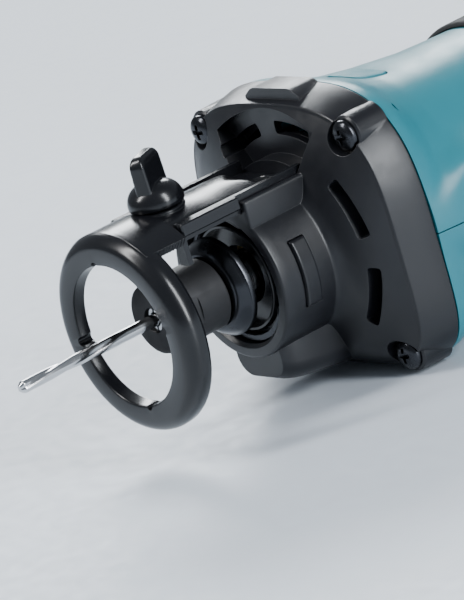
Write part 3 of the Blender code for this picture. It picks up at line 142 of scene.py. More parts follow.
def bar(name, low, high, edge=0.5, steps=4):
    """A box between two corners with edges rounded by quarter circles: its sections shrink towards both ends."""
    low, high = np.array(low, float), np.array(high, float)
    half, middle = (high - low) / 2, (high + low) / 2
    edge = min(edge, half.min() * 0.98)
    turn = np.linspace(0, math.pi / 2, steps + 1)
    inset = np.concatenate([edge * (1 - np.sin(turn)), edge * (1 - np.sin(turn[::-1]))])
    height = np.concatenate([-half[2] + edge * (1 - np.cos(turn)),
                             half[2] - edge * (1 - np.cos(turn[::-1]))])
    angle = np.concatenate([quarter * math.pi / 2 + turn for quarter in range(4)])
    side = np.repeat(np.array([[1, 1], [-1, 1], [-1, -1], [1, -1]]), steps + 1, axis=0)
    core = side * (half[:2] - edge)
    ring = np.stack([np.cos(angle), np.sin(angle)], -1)
    flat = core[None] + ring[None] * (edge - inset)[:, None, None]
    grid = np.dstack([flat, np.broadcast_to(height[:, None], flat.shape[:2])])
    return solid(name, grid + middle)


def extruded(name, outline, low, high, axis="Y"):
    """An outline pushed along an axis: X and Z for a Y axis, X and Y for a Z axis, Y and Z for an X axis."""
    outline = np.array(outline, float)
    rows = []
    for along in (low, high):
        fill = np.full(len(outline), along)
        columns = {"X": (fill, outline[:, 0], outline[:, 1]), "Y": (outline[:, 0], fill, outline[:, 1]),
                   "Z": (outline[:, 0], outline[:, 1], fill)}[axis]
        rows.append(np.stack(columns, -1))
    return solid(name, np.array(rows))


def arc_slot(name, inner, outer, first, last, low, high, steps=24):
    """A slot bent along a circle: two arcs whose ends are halves of |u|^5 + |v|^5 = 1, between square and round."""
    middle, half = (inner + outer) / 2, (outer - inner) / 2
    lean = math.degrees(half / middle)
    sweep = np.radians(np.linspace(first + lean, last - lean, steps))
    end = np.linspace(0, math.pi, 13)[1:-1]
    swell = (np.abs(np.cos(end)) ** 5 + np.abs(np.sin(end)) ** 5) ** -0.2
    outside = np.stack([outer * np.cos(sweep), outer * np.sin(sweep)], -1)
    inside = np.stack([inner * np.cos(sweep), inner * np.sin(sweep)], -1)[::-1]

    def nose(angle, offset):
        """The half loop at one end, which starts outwards for offset 0 and inwards for half a turn."""
        centre = middle * np.array([math.cos(angle), math.sin(angle)])
        turn = angle + offset + end
        return centre + half * swell[:, None] * np.stack([np.cos(turn), np.sin(turn)], -1)

    outline = np.concatenate([outside, nose(sweep[-1], 0), inside, nose(sweep[0], math.pi)])
    return extruded(name, outline, low, high)


def eased(along, places, values, window):
    """Straight runs between stations, averaged over a sliding window so that the corners flow."""
    offsets = np.linspace(-window / 2, window / 2, 21)
    return np.mean([np.interp(along + offset, places, values) for offset in offsets], axis=0)


print("surface helpers ready")

# %% [markdown]
# ## Finishes
# Moulded plastic is never one flat colour. A spark-eroded mould leaves a fine grain, handling polishes patches,
# and edges catch the light where they are rubbed. Each finish here is a small network: slow noise shifts the
# colour and the gloss, fine noise lifts the surface, and a Bevel node both rounds the edges and finds them.

# %% Finish builder
def finish(name, colour, roughness, metallic=0.0, grain=9000, lift=0.02, shift=0.12, gloss=0.08, wear=0.0,
           edge=0.25, stretch=(1, 1, 1), coat=0.0):
    """A procedural finish.

    colour drifts by the share shift, roughness by gloss, grain is the fine noise's scale per metre and lift its
    depth in millimetres, wear is how far rubbed edges lighten, and edge is their radius in millimetres.
    """
    material = bpy.data.materials.new(name)
    material.use_nodes = True
    nodes, links = material.node_tree.nodes, material.node_tree.links
    shader = nodes["Principled BSDF"]
    shader.inputs["Metallic"].default_value = metallic
    shader.inputs["Coat Weight"].default_value = coat
    shader.inputs["Coat Roughness"].default_value = 0.2
    place = nodes.new("ShaderNodeTexCoord")
    scaled = nodes.new("ShaderNodeMapping")
    scaled.inputs["Scale"].default_value = stretch
    links.new(place.outputs["Object"], scaled.inputs["Vector"])

    def noise(scale, detail):
        node = nodes.new("ShaderNodeTexNoise")
        node.inputs["Scale"].default_value = scale
        node.inputs["Detail"].default_value = detail
        links.new(scaled.outputs["Vector"], node.inputs["Vector"])
        return node.outputs["Fac"]

    drift = nodes.new("ShaderNodeMix")
    drift.data_type = "RGBA"
    drift.inputs["A"].default_value = (*[c * (1 - shift) for c in colour], 1)
    drift.inputs["B"].default_value = (*[min(c * (1 + shift), 1) for c in colour], 1)
    links.new(noise(60, 4), drift.inputs["Factor"])
    polish = nodes.new("ShaderNodeMapRange")
    polish.inputs["From Min"].default_value = 0.3
    polish.inputs["From Max"].default_value = 0.7
    polish.inputs["To Min"].default_value = roughness - gloss
    polish.inputs["To Max"].default_value = roughness + gloss
    links.new(noise(220, 6), polish.inputs["Value"])
    links.new(polish.outputs["Result"], shader.inputs["Roughness"])

    rounded = nodes.new("ShaderNodeBevel")
    rounded.samples = 4
    rounded.inputs["Radius"].default_value = edge * MM
    bump = nodes.new("ShaderNodeBump")
    bump.inputs["Strength"].default_value = 1.0
    bump.inputs["Distance"].default_value = lift * MM
    links.new(noise(grain, 2), bump.inputs["Height"])
    links.new(rounded.outputs["Normal"], bump.inputs["Normal"])
    links.new(bump.outputs["Normal"], shader.inputs["Normal"])
    result = drift.outputs["Result"]
    if wear:
        true = nodes.new("ShaderNodeNewGeometry")
        agree = nodes.new("ShaderNodeVectorMath")
        agree.operation = "DOT_PRODUCT"
        links.new(true.outputs["Normal"], agree.inputs[0])
        links.new(rounded.outputs["Normal"], agree.inputs[1])
        rub = nodes.new("ShaderNodeMapRange")
        rub.inputs["From Min"].default_value = 0.97
        rub.inputs["From Max"].default_value = 0.8
        rub.inputs["To Max"].default_value = wear
        links.new(agree.outputs["Value"], rub.inputs["Value"])
        rubbed = nodes.new("ShaderNodeMix")
        rubbed.data_type = "RGBA"
        rubbed.inputs["B"].default_value = (*[min(c * 1.5 + 0.05, 1) for c in colour], 1)
        links.new(rub.outputs["Result"], rubbed.inputs["Factor"])
        links.new(result, rubbed.inputs["A"])
        result = rubbed.outputs["Result"]
    links.new(result, shader.inputs["Base Color"])
    return material


CHARCOAL = finish("charcoal_plastic", (0.0075, 0.0080, 0.0105), 0.33, grain=5200, lift=0.03, gloss=0.05,
                  wear=0.5)
GLOSS_BLACK = finish("gloss_black_plastic", (0.0050, 0.0054, 0.0070), 0.23, grain=900, lift=0.004,
                     gloss=0.025, wear=0.4)
TEAL = finish("teal_plastic", (0.022, 0.200, 0.250), 0.33, grain=5200, lift=0.02, shift=0.05, gloss=0.04,
              wear=0.12)
RUBBER = finish("grip_rubber", (0.012, 0.012, 0.013), 0.72, grain=2600, lift=0.06, gloss=0.08, wear=0.2,
                edge=0.4)
BRIGHT = finish("bright_steel", (0.62, 0.63, 0.65), 0.22, 1.0, grain=1500, lift=0.004, stretch=(1, 14, 1),
                edge=0.12)
TOOL_STEEL = finish("ground_bit_steel", (0.66, 0.66, 0.67), 0.17, 1.0, grain=3000, lift=0.006, edge=0.08)
BLACKED = finish("blackened_steel", (0.05, 0.052, 0.058), 0.24, 1.0, grain=2200, lift=0.005, gloss=0.05,
                 wear=0.5, edge=0.15)
PAINTED = finish("painted_guide_steel", (0.007, 0.0075, 0.0095), 0.24, grain=3200, lift=0.012, gloss=0.04,
                 wear=0.5, edge=0.2)
COPPER = finish("enamelled_wire", (0.55, 0.22, 0.09), 0.3, 0.9, grain=2200, lift=0.08, stretch=(1, 0.3, 1))
BRASS = finish("spring_brass", (0.72, 0.52, 0.24), 0.28, 1.0, grain=1800, lift=0.006)
BOARD = finish("circuit_board", (0.02, 0.13, 0.06), 0.4, grain=1500, lift=0.02)
CELL_WRAP = finish("cell_wrap", (0.05, 0.20, 0.34), 0.35, grain=1200, lift=0.01)
print(len(bpy.data.materials), "finishes")

# %% [markdown]
# ## Dressing a piece
# Every piece gets its finish, the body it rides on and the CAD nodes it stands for, in one call.

# %% Dress
def dress(piece, material, body, slot, *nodes):
    piece.data.materials.clear()
    piece.data.materials.append(material)
    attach(piece, body)
    if nodes:
        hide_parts(*nodes)
    print(piece.name, len(piece.data.polygons), "faces")


# %% [markdown]
# ## The front cover
# On the real tool this is one glass-filled moulding: a round neck that flows through a hollow shoulder into a
# rounded-square flange. It could be a turned body with a square plate joined on, but then the hollow would meet
# the flange in a crease. Here one closed profile goes round the spindle, and its outer half changes from a
# circle to a rounded square as it nears the flange.

# %% Cover body
NECK_FRONT = span("front_cover")[0][1]
FLANGE_FRONT = -9.6
RIM_FRONT = -10.7
RIM_RADIUS = 37.0
COVER_BACK = span("front_cover")[1][1]
NECK_RADIUS = 20.6
EDGE = 0.3
BODY_HALF = 40.0
BODY_LOW = 33.4
BODY_HIGH = 39.3
SQUARE = 3.2
LOW_SQUARE = 5.0
BORE = 17.0
COLLAR_FLOOR = NECK_FRONT + 5.7
BEARING_BORE = 14.3
BEARING_BACK = span("front_bearing_outer")[1][1] + 0.3
CHAMBER = 30.5
CHAMBER_FRONT = -7.0


def rounded_square(angle, size, power):
    """Points of |x/a|^n + |z/b|^n = 1.

    Above the spindle n is the power given. Below, n climbs faster, and b falls short of a as the section gets square.
    """
    across, up = np.cos(angle), np.sin(angle)
    share = (power - 2) / (SQUARE - 2)
    low = 1 + (BODY_LOW / BODY_HALF - 1) * share
    high = 1 + (BODY_HIGH / BODY_HALF - 1) * share
    height = np.where(up >= 0, high, low)
    power = np.where(up >= 0, power, 2 + (LOW_SQUARE - 2) * share)
    reach = (np.abs(across) ** power + np.abs(up / height) ** power) ** (-1 / power)
    return size * reach * across, size * reach * up


def cover_body(count=176):
    """The radius follows straight runs eased into each other: neck, steep shoulder, rim.

    The power n goes from 2 to 3.2 along the shoulder. The rim turns a crisp edge, and the side band leans outwards.
    """
    angle = np.arange(count) * TURN / count
    lip = np.radians(np.linspace(0, 90, 5))
    outer = [(NECK_FRONT + 0.8 * (1 - math.cos(a)), NECK_RADIUS - 0.8 * (1 - math.sin(a)), 2.0) for a in lip]
    along = np.concatenate([np.linspace(NECK_FRONT + 3, -20, 6), np.linspace(-19.6, RIM_FRONT, 40)])
    radius = eased(along, [NECK_FRONT, -17.3, -13.8, RIM_FRONT, -6], [NECK_RADIUS, 20.9, 31.4, RIM_RADIUS, 45.5], 3.6)
    share = np.clip((radius - 21.5) / 15, 0, 1) ** 1.5
    outer += list(zip(along, radius, 2 + (SQUARE - 2) * share))
    outer += [(RIM_FRONT + 0.5 * (1 - math.cos(a)), radius[-1] + 0.2 + 0.5 * math.sin(a), SQUARE) for a in lip[1:]]
    outer += [(-5.0, 39.1, SQUARE), (-0.9, BODY_HALF, SQUARE), (COVER_BACK - EDGE, BODY_HALF, SQUARE),
              (COVER_BACK, BODY_HALF - EDGE, SQUARE)]
    inner = [(COVER_BACK, CHAMBER), (CHAMBER_FRONT, CHAMBER), (CHAMBER_FRONT, 12.0), (BEARING_BACK, 12.0),
             (BEARING_BACK, BEARING_BORE), (COLLAR_FLOOR, BEARING_BORE), (COLLAR_FLOOR, BORE),
             (NECK_FRONT + 0.9, BORE), (NECK_FRONT, BORE + 0.9)]
    rows = []
    for y, size, power in outer + [(y, r, 2.0) for y, r in inner]:
        x, z = rounded_square(angle, size, power)
        rows.append(np.stack([x, np.full(count, y), z], -1))
    return solid("front_cover_shell", np.array(rows), wrap_rows=True)


cover = cover_body()
print("cover", len(cover.data.vertices), "points")

# %% [markdown]
# ## Box, keel, plateau and corner bosses
# The moulding carries a box on top that holds the depth guide, a keel below that stiffens the neck, a raised pad
# on the flange, and a round boss behind each screw. They are joined as solids, because each one meets the hollow
# shoulder along a curve that would be hard to draw.

# %% Joined features
CORNER = 28.6
CORNERS = [(side * CORNER, level * CORNER + 0.6) for level in (1, -1) for side in (-1, 1)]
GUIDE_HIGH = span("guide_bracket")[1]
CHANNEL_HALF = 13.3
CHANNEL_FLOOR = 18.2
CHANNEL_END = GUIDE_HIGH[1] + 0.3
BOX_HALF = 15.0
BOX_TOP = 21.3


def keel():
    """A rounded trough: its bottom falls from -27.6 in front to -30.4 behind, and its corners are arcs of 5 mm."""
    along = np.linspace(NECK_FRONT + 1.8, FLANGE_FRONT + 1, 14)
    part = (along - along[0]) / (along[-1] - along[0])
    bottom = -27.6 - 2.8 * part
    half = 10.5 + 1.6 * part - 1.6 * (1 - part) ** 10
    bottom = bottom + 1.4 * (1 - part) ** 10
    turn = np.linspace(0, math.pi / 2, 7)
    rows = []
    for y, low, wide in zip(along, bottom, half):
        right = np.stack([wide - 5 + 5 * np.cos(turn), low + 5 - 5 * np.sin(turn)], -1)
        left = right[::-1] * [-1, 1]
        ring = np.concatenate([[[wide, -8]], right, left, [[-wide, -8]]])
        rows.append(np.stack([ring[:, 0], np.full(len(ring), y), ring[:, 1]], -1))
    return solid("keel", np.array(rows))


plateau = extruded("plateau", [(-5.4, 40.3), (-6.8, 39.9), (-9.2, 38.2), (-9.2, 34), (12.2, 34),
                               (12.2, 38.2), (9.8, 39.9), (8.4, 40.3)], -8.4, COVER_BACK - 0.1)
bosses = [turned(f"boss_{i}", [(0, FLANGE_FRONT - 0.05), (4.4, FLANGE_FRONT - 0.05),
                               (4.9, FLANGE_FRONT + 0.5), (5.2, COVER_BACK - 0.02),
                               (0, COVER_BACK - 0.02)], centre=place, count=48) for i,
          place in enumerate(CORNERS)]
box = bar("guide_box", (-BOX_HALF, NECK_FRONT + 0.05, 14), (BOX_HALF, FLANGE_FRONT + 2, BOX_TOP), 0.7)
carve(cover, [keel(), plateau, box] + bosses, "UNION")
print("joined cover", len(cover.data.vertices), "points")

# %% [markdown]
# ## Openings in the cover
# Air leaves through curved slots in the shoulder, the guide lies in a channel, and the lock button has a pocket.
# Each opening is a cutter, bent round the spindle by the same angle that the slot has on the tool.

# %% Cut openings
SLOTS = ((8, 38), (66, 90), (103, 124), (142, 172), (187, 217), (323, 353))
LOCK_LOW, LOCK_HIGH = span("shaft_lock_button")
cutters = [arc_slot(f"slot_{i}", 28.4, 32.0, first, last, -24, CHAMBER_FRONT + 1) for i,
           (first, last) in enumerate(SLOTS)]
crescent = extruded("crescent", [(r * math.cos(a), r * math.sin(a)) for r,
                                 sweep in ((36.0, range(58, 123, 4)), (23.5, range(122, 57, -4)))
                                 for a in map(math.radians, sweep)], -26, FLANGE_FRONT + 0.6)
channel = bar("channel", (-CHANNEL_HALF, NECK_FRONT - 2, CHANNEL_FLOOR), (CHANNEL_HALF, CHANNEL_END, 33),
              0.2)
core_bore = turned("core_bore", [(0, NECK_FRONT - 1), (BORE, NECK_FRONT - 1), (BORE, COLLAR_FLOOR),
                                 (0, COLLAR_FLOOR)])
pocket = bar("lock_pocket", (15.6, LOCK_LOW[1] - 0.3, LOCK_LOW[2] - 0.3),
             (27, LOCK_HIGH[1] + 0.3, LOCK_HIGH[2] + 0.3), 0.4)
pin_way = turned("pin_way", [(0, 9), (2.1, 9), (2.1, 22), (0, 22)], "X",
                 ((LOCK_LOW[1] + LOCK_HIGH[1]) / 2, 0), 32)
carve(cover, [crescent, channel, core_bore])
carve(cover, cutters + [pocket, pin_way])
seats = [turned(f"seat_{i}", [(0, FLANGE_FRONT - 8), (4.5, FLANGE_FRONT - 8), (4.5, FLANGE_FRONT),
                              (2.2, FLANGE_FRONT), (2.2, 1), (0, 1)], centre=place, count=48) for i,
         place in enumerate(CORNERS)]
carve(cover, seats)
dress(cover, CHARCOAL, "tool", "black", "front_cover")

# %% [markdown]
# ## The camera, the floor and the light
# A long lens from in front and to the right keeps the ring shoe nearly round. The floor is a wide pale sheet,
# and two large soft lights do the work of a studio: one high on the left for the top, one low on the right.

# %% Stage
AZIMUTH, ELEVATION, ROLL = np.radians([55.62, 15.61, 16.79])
EYE = np.array([991.4, -714.4, 331.1])
back = np.array([math.sin(AZIMUTH) * math.cos(ELEVATION), -math.cos(AZIMUTH) * math.cos(ELEVATION),
                 math.sin(ELEVATION)])
level = np.array([math.cos(AZIMUTH), math.sin(AZIMUTH), 0.0])
upright = np.cross(back, level)
right = level * math.cos(ROLL) - upright * math.sin(ROLL)
above = level * math.sin(ROLL) + upright * math.cos(ROLL)
camera_data = bpy.data.cameras.new("camera")
camera_data.sensor_fit = "VERTICAL"
camera_data.sensor_height = 36
camera_data.lens = 305.8
camera_data.clip_end = 20
camera = bpy.data.objects.new("camera", camera_data)
camera.matrix_world = Matrix.Translation(Vector(ORIGIN + EYE
                                                * MM)) @ Matrix(np.stack([right, above, back],
                                                        -1).tolist()).to_4x4()
bpy.context.scene.collection.objects.link(camera)
bpy.context.scene.camera = camera

floor_mesh = bpy.data.meshes.new("floor")
floor_mesh.from_pydata([(x, y, -0.0002) for x, y in ((-4, -4), (4, -4), (4, 4), (-4, 4))], [],
                       [(0, 1, 2, 3)])
floor = bpy.data.objects.new("floor", floor_mesh)
bpy.context.scene.collection.objects.link(floor)
FLOOR = finish("pale_floor", (0.66, 0.72, 0.79), 0.5, grain=300, lift=0.01, shift=0.02)
floor.data.materials.append(FLOOR)


def soft_light(name, place, size, energy, colour):
    """A rectangular light, size across by size along, aimed at the middle of the tool's nose."""
    data = bpy.data.lights.new(name, "AREA")
    data.shape = "RECTANGLE"
    data.size, data.size_y = size
    data.energy, data.color = energy, colour
    lamp = bpy.data.objects.new(name, data)
    lamp.location = place
    lamp.rotation_euler = (Vector((0, -0.08, 0.04)) - Vector(place)).to_track_quat("-Z", "Y").to_euler()
    bpy.context.scene.collection.objects.link(lamp)


soft_light("window", (-1.1, 0.75, 0.75), (0.8, 0.4), 19, (0.93, 0.97, 1.0))
soft_light("overhead_strip", (-0.3, -0.7, 1.0), (0.16, 1.1), 15, (1.0, 1.0, 1.0))
soft_light("side_strip", (1.0, 0.1, 0.5), (0.22, 0.9), 14, (0.92, 0.96, 1.0))
world = bpy.data.worlds.new("studio")
world.use_nodes = True
world.node_tree.nodes["Background"].inputs["Color"].default_value = (0.72, 0.80, 0.9, 1)
world.node_tree.nodes["Background"].inputs["Strength"].default_value = 0.32
bpy.context.scene.world = world
print("stage ready")

# %% [markdown]
# ## The housing
# Two teal mouldings meet at the height of the spindle. A plain tube would miss the swelling on each flank, where
# the mould makes room for the motor's air. The skin is a rounded square whose size and squareness change along
# the tool, and the swelling is a weight that pulls the skin out sideways, so it blends like a moulding.

# %% Housing skin
HOUSING_END = span("housing_upper")[1][1]
STATIONS = np.array([(0, 39.8, 3.2), (0.8, 40, 3.2), (4, 39.2, 3.1), (9, 36.6, 2.9), (16, 34.7, 2.7),
                     (26, 33.2, 2.5), (40, 31.9, 2.2), (54, 31.5, 2.1), (112, 31.5, 2.1),
                     (122, 33.2, 2.4), (134, 37.3, 3.0), (141, 38.5, 3.3), (150, 38.5, 3.3)])


def skin(along, angle, grow=0.0):
    """The rounded square of each station, then a side swelling with weight 1 / (1 + d^14).

    d is an oval distance from the flank's middle, in Y and Z.
    """
    size = eased(along, STATIONS[:, 0], STATIONS[:, 1], 3.0) + grow
    power = eased(along, STATIONS[:, 0], STATIONS[:, 2], 6.0)
    x, z = rounded_square(angle, size, power)
    distance = np.hypot((along - 27) / 25.5, (z - 3.2) / 14.5)
    weight = 1 / (1 + distance ** 14)
    pulled = np.maximum(np.abs(x), 41.5 - 0.12 * np.clip(along - 30, 0, 40) + grow)
    x = np.sign(x) * (np.abs(x) * (1 - weight) + pulled * weight)
    return x, z


def half_shell(name, side, rows=150, columns=150):
    """One half of the skin as a solid, flat where the halves meet."""
    along = np.linspace(0, HOUSING_END, rows)[:, None]
    angle = np.linspace(0, math.pi, columns)[None, :] * side
    x, z = skin(along, angle)
    z = np.where(np.abs(z) < 0.15, side * 0.15, z)
    return solid(name, np.stack([x, np.broadcast_to(along, x.shape), z], -1))


def cavity():
    """The hollow that holds fan, motor and board: a tube whose radius eases along the tool, cut off by the belly."""
    along = np.linspace(-1, HOUSING_END - 9, 60)[:, None]
    radius = eased(along, [-1, 5, 11, 14, 64, 67, 150], [34, 33, 29.5, 27.8, 27.8, 28.5, 28.5], 1.0)
    angle = np.arange(72)[None, :] * TURN / 72
    up = np.maximum(radius * np.sin(angle), -30.4)
    return solid("cavity", np.stack([radius * np.cos(angle), along + 0 * angle, up], -1))


def rear_slot():
    """The T-shaped slot for the battery's rails."""
    half, lip, end = 24, 20, HOUSING_END
    return extruded("rear_slot", [(-half, end - 6), (half, end - 6), (half, end - 3), (lip, end - 3),
                                  (lip, end + 1), (-lip, end + 1), (-lip, end - 3), (-half, end - 3)],
                    -27.4, 45, "Z")


PAD_MIDDLE, PAD_HALF = (3.5, 17.0), (6.9, 4.8)


def pad_outline(grow, count=12):
    """A rectangle with round corners of 2.4 mm."""
    turn = np.linspace(0, math.pi / 2, count)
    angle = np.concatenate([quarter * math.pi / 2 + turn for quarter in range(4)])
    side = np.repeat(np.array([[1, 1], [-1, 1], [-1, -1], [1, -1]]), count, axis=0)
    core = side * (np.array(PAD_HALF) - 2.4)
    return core + (2.4 + grow) * np.stack([np.cos(angle), np.sin(angle)], -1) + PAD_MIDDLE


def top_height(x, y):
    """Height of the housing's top: z = h size (1 - |x/size|^n)^(1/n)."""
    size = eased(y, STATIONS[:, 0], STATIONS[:, 1], 3.0)
    power = eased(y, STATIONS[:, 0], STATIONS[:, 2], 6.0)
    high = 1 + (BODY_HIGH / BODY_HALF - 1) * (power - 2) / (SQUARE - 2)
    return high * size * (1 - np.abs(x / size) ** power) ** (1 / power)


def pad_solid(name, grow, lifts):
    """The pad's outline laid on the housing's top at several heights; the shrink rounds its rim."""
    rows = []
    for shrink, lift in lifts:
        flat = pad_outline(grow - shrink)
        rows.append(np.stack([flat[:, 0], flat[:, 1], top_height(flat[:, 0], flat[:, 1]) + lift], -1))
    return solid(name, np.array(rows))


for side, label in ((1, "upper"), (-1, "lower")):
    half = half_shell(f"housing_{label}_shell", side)
    tools = [cavity()]
    carve(half, tools)
    tools = [rear_slot()]
    for flank in (-1, 1):
        for index in range(6):
            y = 118 + index * 3.6
            x = sorted((flank * 27, flank * 46))
            z = sorted((side * 3.4, side * 13.2))
            tools.append(bar("inlet", (x[0], y, z[0]), (x[1], y + 1.9, z[1]), 0.9))
    for place in CORNERS:
        if place[1] * side > 0:
            tools.append(turned("screw_way", [(0, -1), (2.2, -1), (2.2, 6), (0, 6)], centre=place,
                                count=24))
    for y in (88, 128):
        for x in (-21, 21):
            if side < 0:
                tools.append(turned("screw_well",
                                    [(0, -60), (4.6, -60), (4.6, -14), (2.2, -14), (2.2, 0), (0, 0)], "Z",
                                    (x, y), 40))
    if side > 0:
        tools.append(bar("switch_slot", (-4, 76.6, 22), (4, 94, 40), 0.3))
        tools.append(pad_solid("pad_recess", 0.45, ((0, -1.2), (0, 5))))
    carve(half, tools)
    dress(half, TEAL, "tool", "teal", f"housing_{label}")

# %% [markdown]
# ## The inlaid pad
# A small insert sits in the top of the housing with a fine moulded texture. It could be flat, but the housing
# slopes away there, so its outline is laid on the housing's own surface and its rim rounded over.

# %% Pad
PAD_FINISH = finish("pad_texture", (0.024, 0.19, 0.235), 0.55, grain=1900, lift=0.12, shift=0.06)
pad = pad_solid("inlaid_pad", 0, ((0, -0.9), (0, 0.15), (0.12, 0.3), (0.35, 0.38)))
dress(pad, PAD_FINISH, "tool", "teal", "thumb_pad")

# %% [markdown]
# ## The depth shoe
# The shoe is cast in one: a ring with a rolled lip, a broad skirt that continues the ring's own cylinder, and a
# narrow arm that slides in the guide. The ring is turned, and the skirt and the arm are sections carried along.
# The skirt's long edges have fine teeth, which give the fingers a hold when the depth is set.

# %% Shoe
SHOE_LOW, SHOE_HIGH = span("depth_shoe")
RING = SHOE_HIGH[0]
RING_FACE = SHOE_LOW[1]
RING_BORE = 18.2
ARM_HALF = 11.1
ARM_UNDER = 20.35
GUIDE_FRONT = -54.0


def ring_profile():
    """A flat face, a lip rolled over a quarter of an oval, a skirt, and a shallow hollow behind."""
    roll = np.radians(np.linspace(0, 90, 10))
    front = [(RING_BORE, RING_FACE + 0.7), (RING_BORE + 0.2, RING_FACE + 0.2), (RING_BORE + 0.7, RING_FACE)]
    lip = [(RING - 3.7 + 3.7 * math.sin(a), RING_FACE + 4.0 * (1 - math.cos(a))) for a in roll]
    back = [(RING - 0.1, RING_FACE + 5.7), (RING - 0.5, RING_FACE + 6.6), (RING - 1.2, RING_FACE + 7),
            (RING - 2.0, RING_FACE + 6.8), (RING - 2.4, RING_FACE + 6.2), (RING - 2.8, RING_FACE + 5.0),
            (RING - 4.2, RING_FACE + 4.2), (RING_BORE + 0.4, RING_FACE + 4), (RING_BORE, RING_FACE + 3.6)]
    return front + lip + back


def skirt():
    """A stretch of tube from -a to +a; a wobbles by a fine triangle wave so that its long edges have teeth."""
    along = np.linspace(RING_FACE + 3, GUIDE_FRONT - 0.6, 120)
    wave = 2 * np.abs((along / 0.95) % 1 - 0.5)
    limit = np.radians(38 + 0.55 * wave * (along > RING_FACE + 7))[:, None]
    sweep = np.linspace(-1, 1, 48)[None, :]
    rows = []
    for radius, way in ((RING - 0.05, 1), (RING - 2.6, -1)):
        angle = (sweep * limit)[:, ::way]
        rows.append(np.stack([radius * np.sin(angle), np.broadcast_to(along[:, None], angle.shape),
                              radius * np.cos(angle)], -1))
    return solid("skirt", np.concatenate(rows, axis=1))


def arm():
    """A crowned bar. Crest falls from the skirt to the rear, and the rear edge is a wave across the width."""
    part = np.linspace(0, 1, 70)[:, None]
    x = np.linspace(-ARM_HALF, ARM_HALF, 40)[None, :]
    end = SHOE_HIGH[1] - 3.6 * np.exp(-((x - 2) / 4) ** 2)
    start = GUIDE_FRONT - 6
    y = start + (end - start) * part
    crest = eased(y, [start, -56, -44, -36, end.max()], [RING - 0.4, 25.3, 25.2, 24.7, 24.6], 5)
    shoulder = 0.8 * np.clip((np.abs(x) - ARM_HALF + 1.2) / 1.2, 0, 1) ** 2
    top = crest - x ** 2 / 46 - shoulder - 0.8 * part ** 40
    above = np.stack([np.broadcast_to(x, y.shape), y, top], -1)
    below = np.stack([np.broadcast_to(x, y.shape), y, np.full(y.shape, ARM_UNDER)], -1)[:, ::-1]
    return solid("arm", np.concatenate([above, below], axis=1))


KNOB_LOW, KNOB_HIGH = span("wing_knob")
KNOB_Y = (KNOB_LOW[1] + KNOB_HIGH[1]) / 2
KNOB_BASE = KNOB_LOW[2]
shoe = turned("depth_shoe_casting", ring_profile(), count=180)
seat = turned("seat", [(0, 22), (6.8, 22), (6.8, KNOB_BASE - 0.6), (6.5, KNOB_BASE - 0.3),
                       (0, KNOB_BASE - 0.3)], "Z", (0, KNOB_Y), 64)
carve(shoe, [skirt(), arm(), seat], "UNION")
notches = [turned("notch", [(0, RING_FACE - 1), (1.15, RING_FACE - 1), (1.15, RING_FACE + 5),
                            (0, RING_FACE + 5)], centre=(RING_BORE * math.cos(a),
                                                         RING_BORE * math.sin(a)), count=24)
           for a in np.radians([8, 98, 188, 278])]
bolt_way = turned("bolt_way", [(0, 15), (2.4, 15), (2.4, 32), (0, 32)], "Z", (0, KNOB_Y), 32)
carve(shoe, notches + [bolt_way])
dress(shoe, GLOSS_BLACK, "shoe", "black", "depth_shoe")

# %% [markdown]
# ## The wing knob
# The knob is a shallow dome with a blade across it, so that a thumb and finger can turn it. A dome and a box
# would look stuck together; the blade's sections narrow upwards and meet the dome in a union.

# %% Knob
KNOB_RADIUS = (KNOB_HIGH[0] - KNOB_LOW[0]) / 2
KNOB_TURN = math.radians(30)
KNOB_RISE = KNOB_HIGH[2] - KNOB_BASE


def blade():
    """Rounded rectangles stacked upwards: the size shrinks slowly, and a quarter oval rounds the crest."""
    part = np.linspace(0, 1, 30)[:, None]
    over = np.clip((part - 0.80) / 0.20, 0, 1)
    crest = np.sqrt(np.clip(1 - over ** 2, 0.04, 1))
    length = (5.9 - 0.2 * part) * (0.55 + 0.45 * crest)
    thick = (2.4 - 0.4 * part) * (0.35 + 0.65 * crest)
    angle = np.arange(64)[None, :] * TURN / 64
    along = length * np.sign(np.sin(angle)) * np.abs(np.sin(angle)) ** 0.32
    across = thick * np.sign(np.cos(angle)) * np.abs(np.cos(angle)) ** 0.32
    x = across * math.cos(KNOB_TURN) - along * math.sin(KNOB_TURN)
    y = KNOB_Y + across * math.sin(KNOB_TURN) + along * math.cos(KNOB_TURN)
    return solid("blade",
                 np.stack([x, y, np.broadcast_to(KNOB_BASE + 0.5 + (KNOB_RISE - 0.5) * part, x.shape)],
                          -1))


swell = np.radians(np.linspace(0, 86, 14))
dome = [(0, KNOB_BASE), (KNOB_RADIUS - 0.7, KNOB_BASE), (KNOB_RADIUS - 0.15, KNOB_BASE + 0.4),
        (KNOB_RADIUS, KNOB_BASE + 1.0)]
dome += [(KNOB_RADIUS * math.cos(a) ** 0.8, KNOB_BASE + 1.4 + 5.2 * math.sin(a))
         for a in swell] + [(0, KNOB_BASE + 6.7)]
knob = turned("wing_knob_moulding", dome, "Z", (0, KNOB_Y), 96)
carve(knob, [blade()], "UNION")
carve(knob, [turned("socket", [(0, KNOB_BASE - 1), (2.4, KNOB_BASE - 1), (2.4, KNOB_BASE + 6.3),
                               (0, KNOB_BASE + 6.3)], "Z", (0, KNOB_Y), 32)])
dress(knob, GLOSS_BLACK, "knob", "black", "wing_knob")

# %% [markdown]
# ## Nut, slinger and dust plate
# These are lathe work, so each is a profile turned round the spindle. The nut is blackened and matt, its front
# edge broken by a chamfer, with two flats for the spanner. The slinger behind it is a dish that throws dust out.

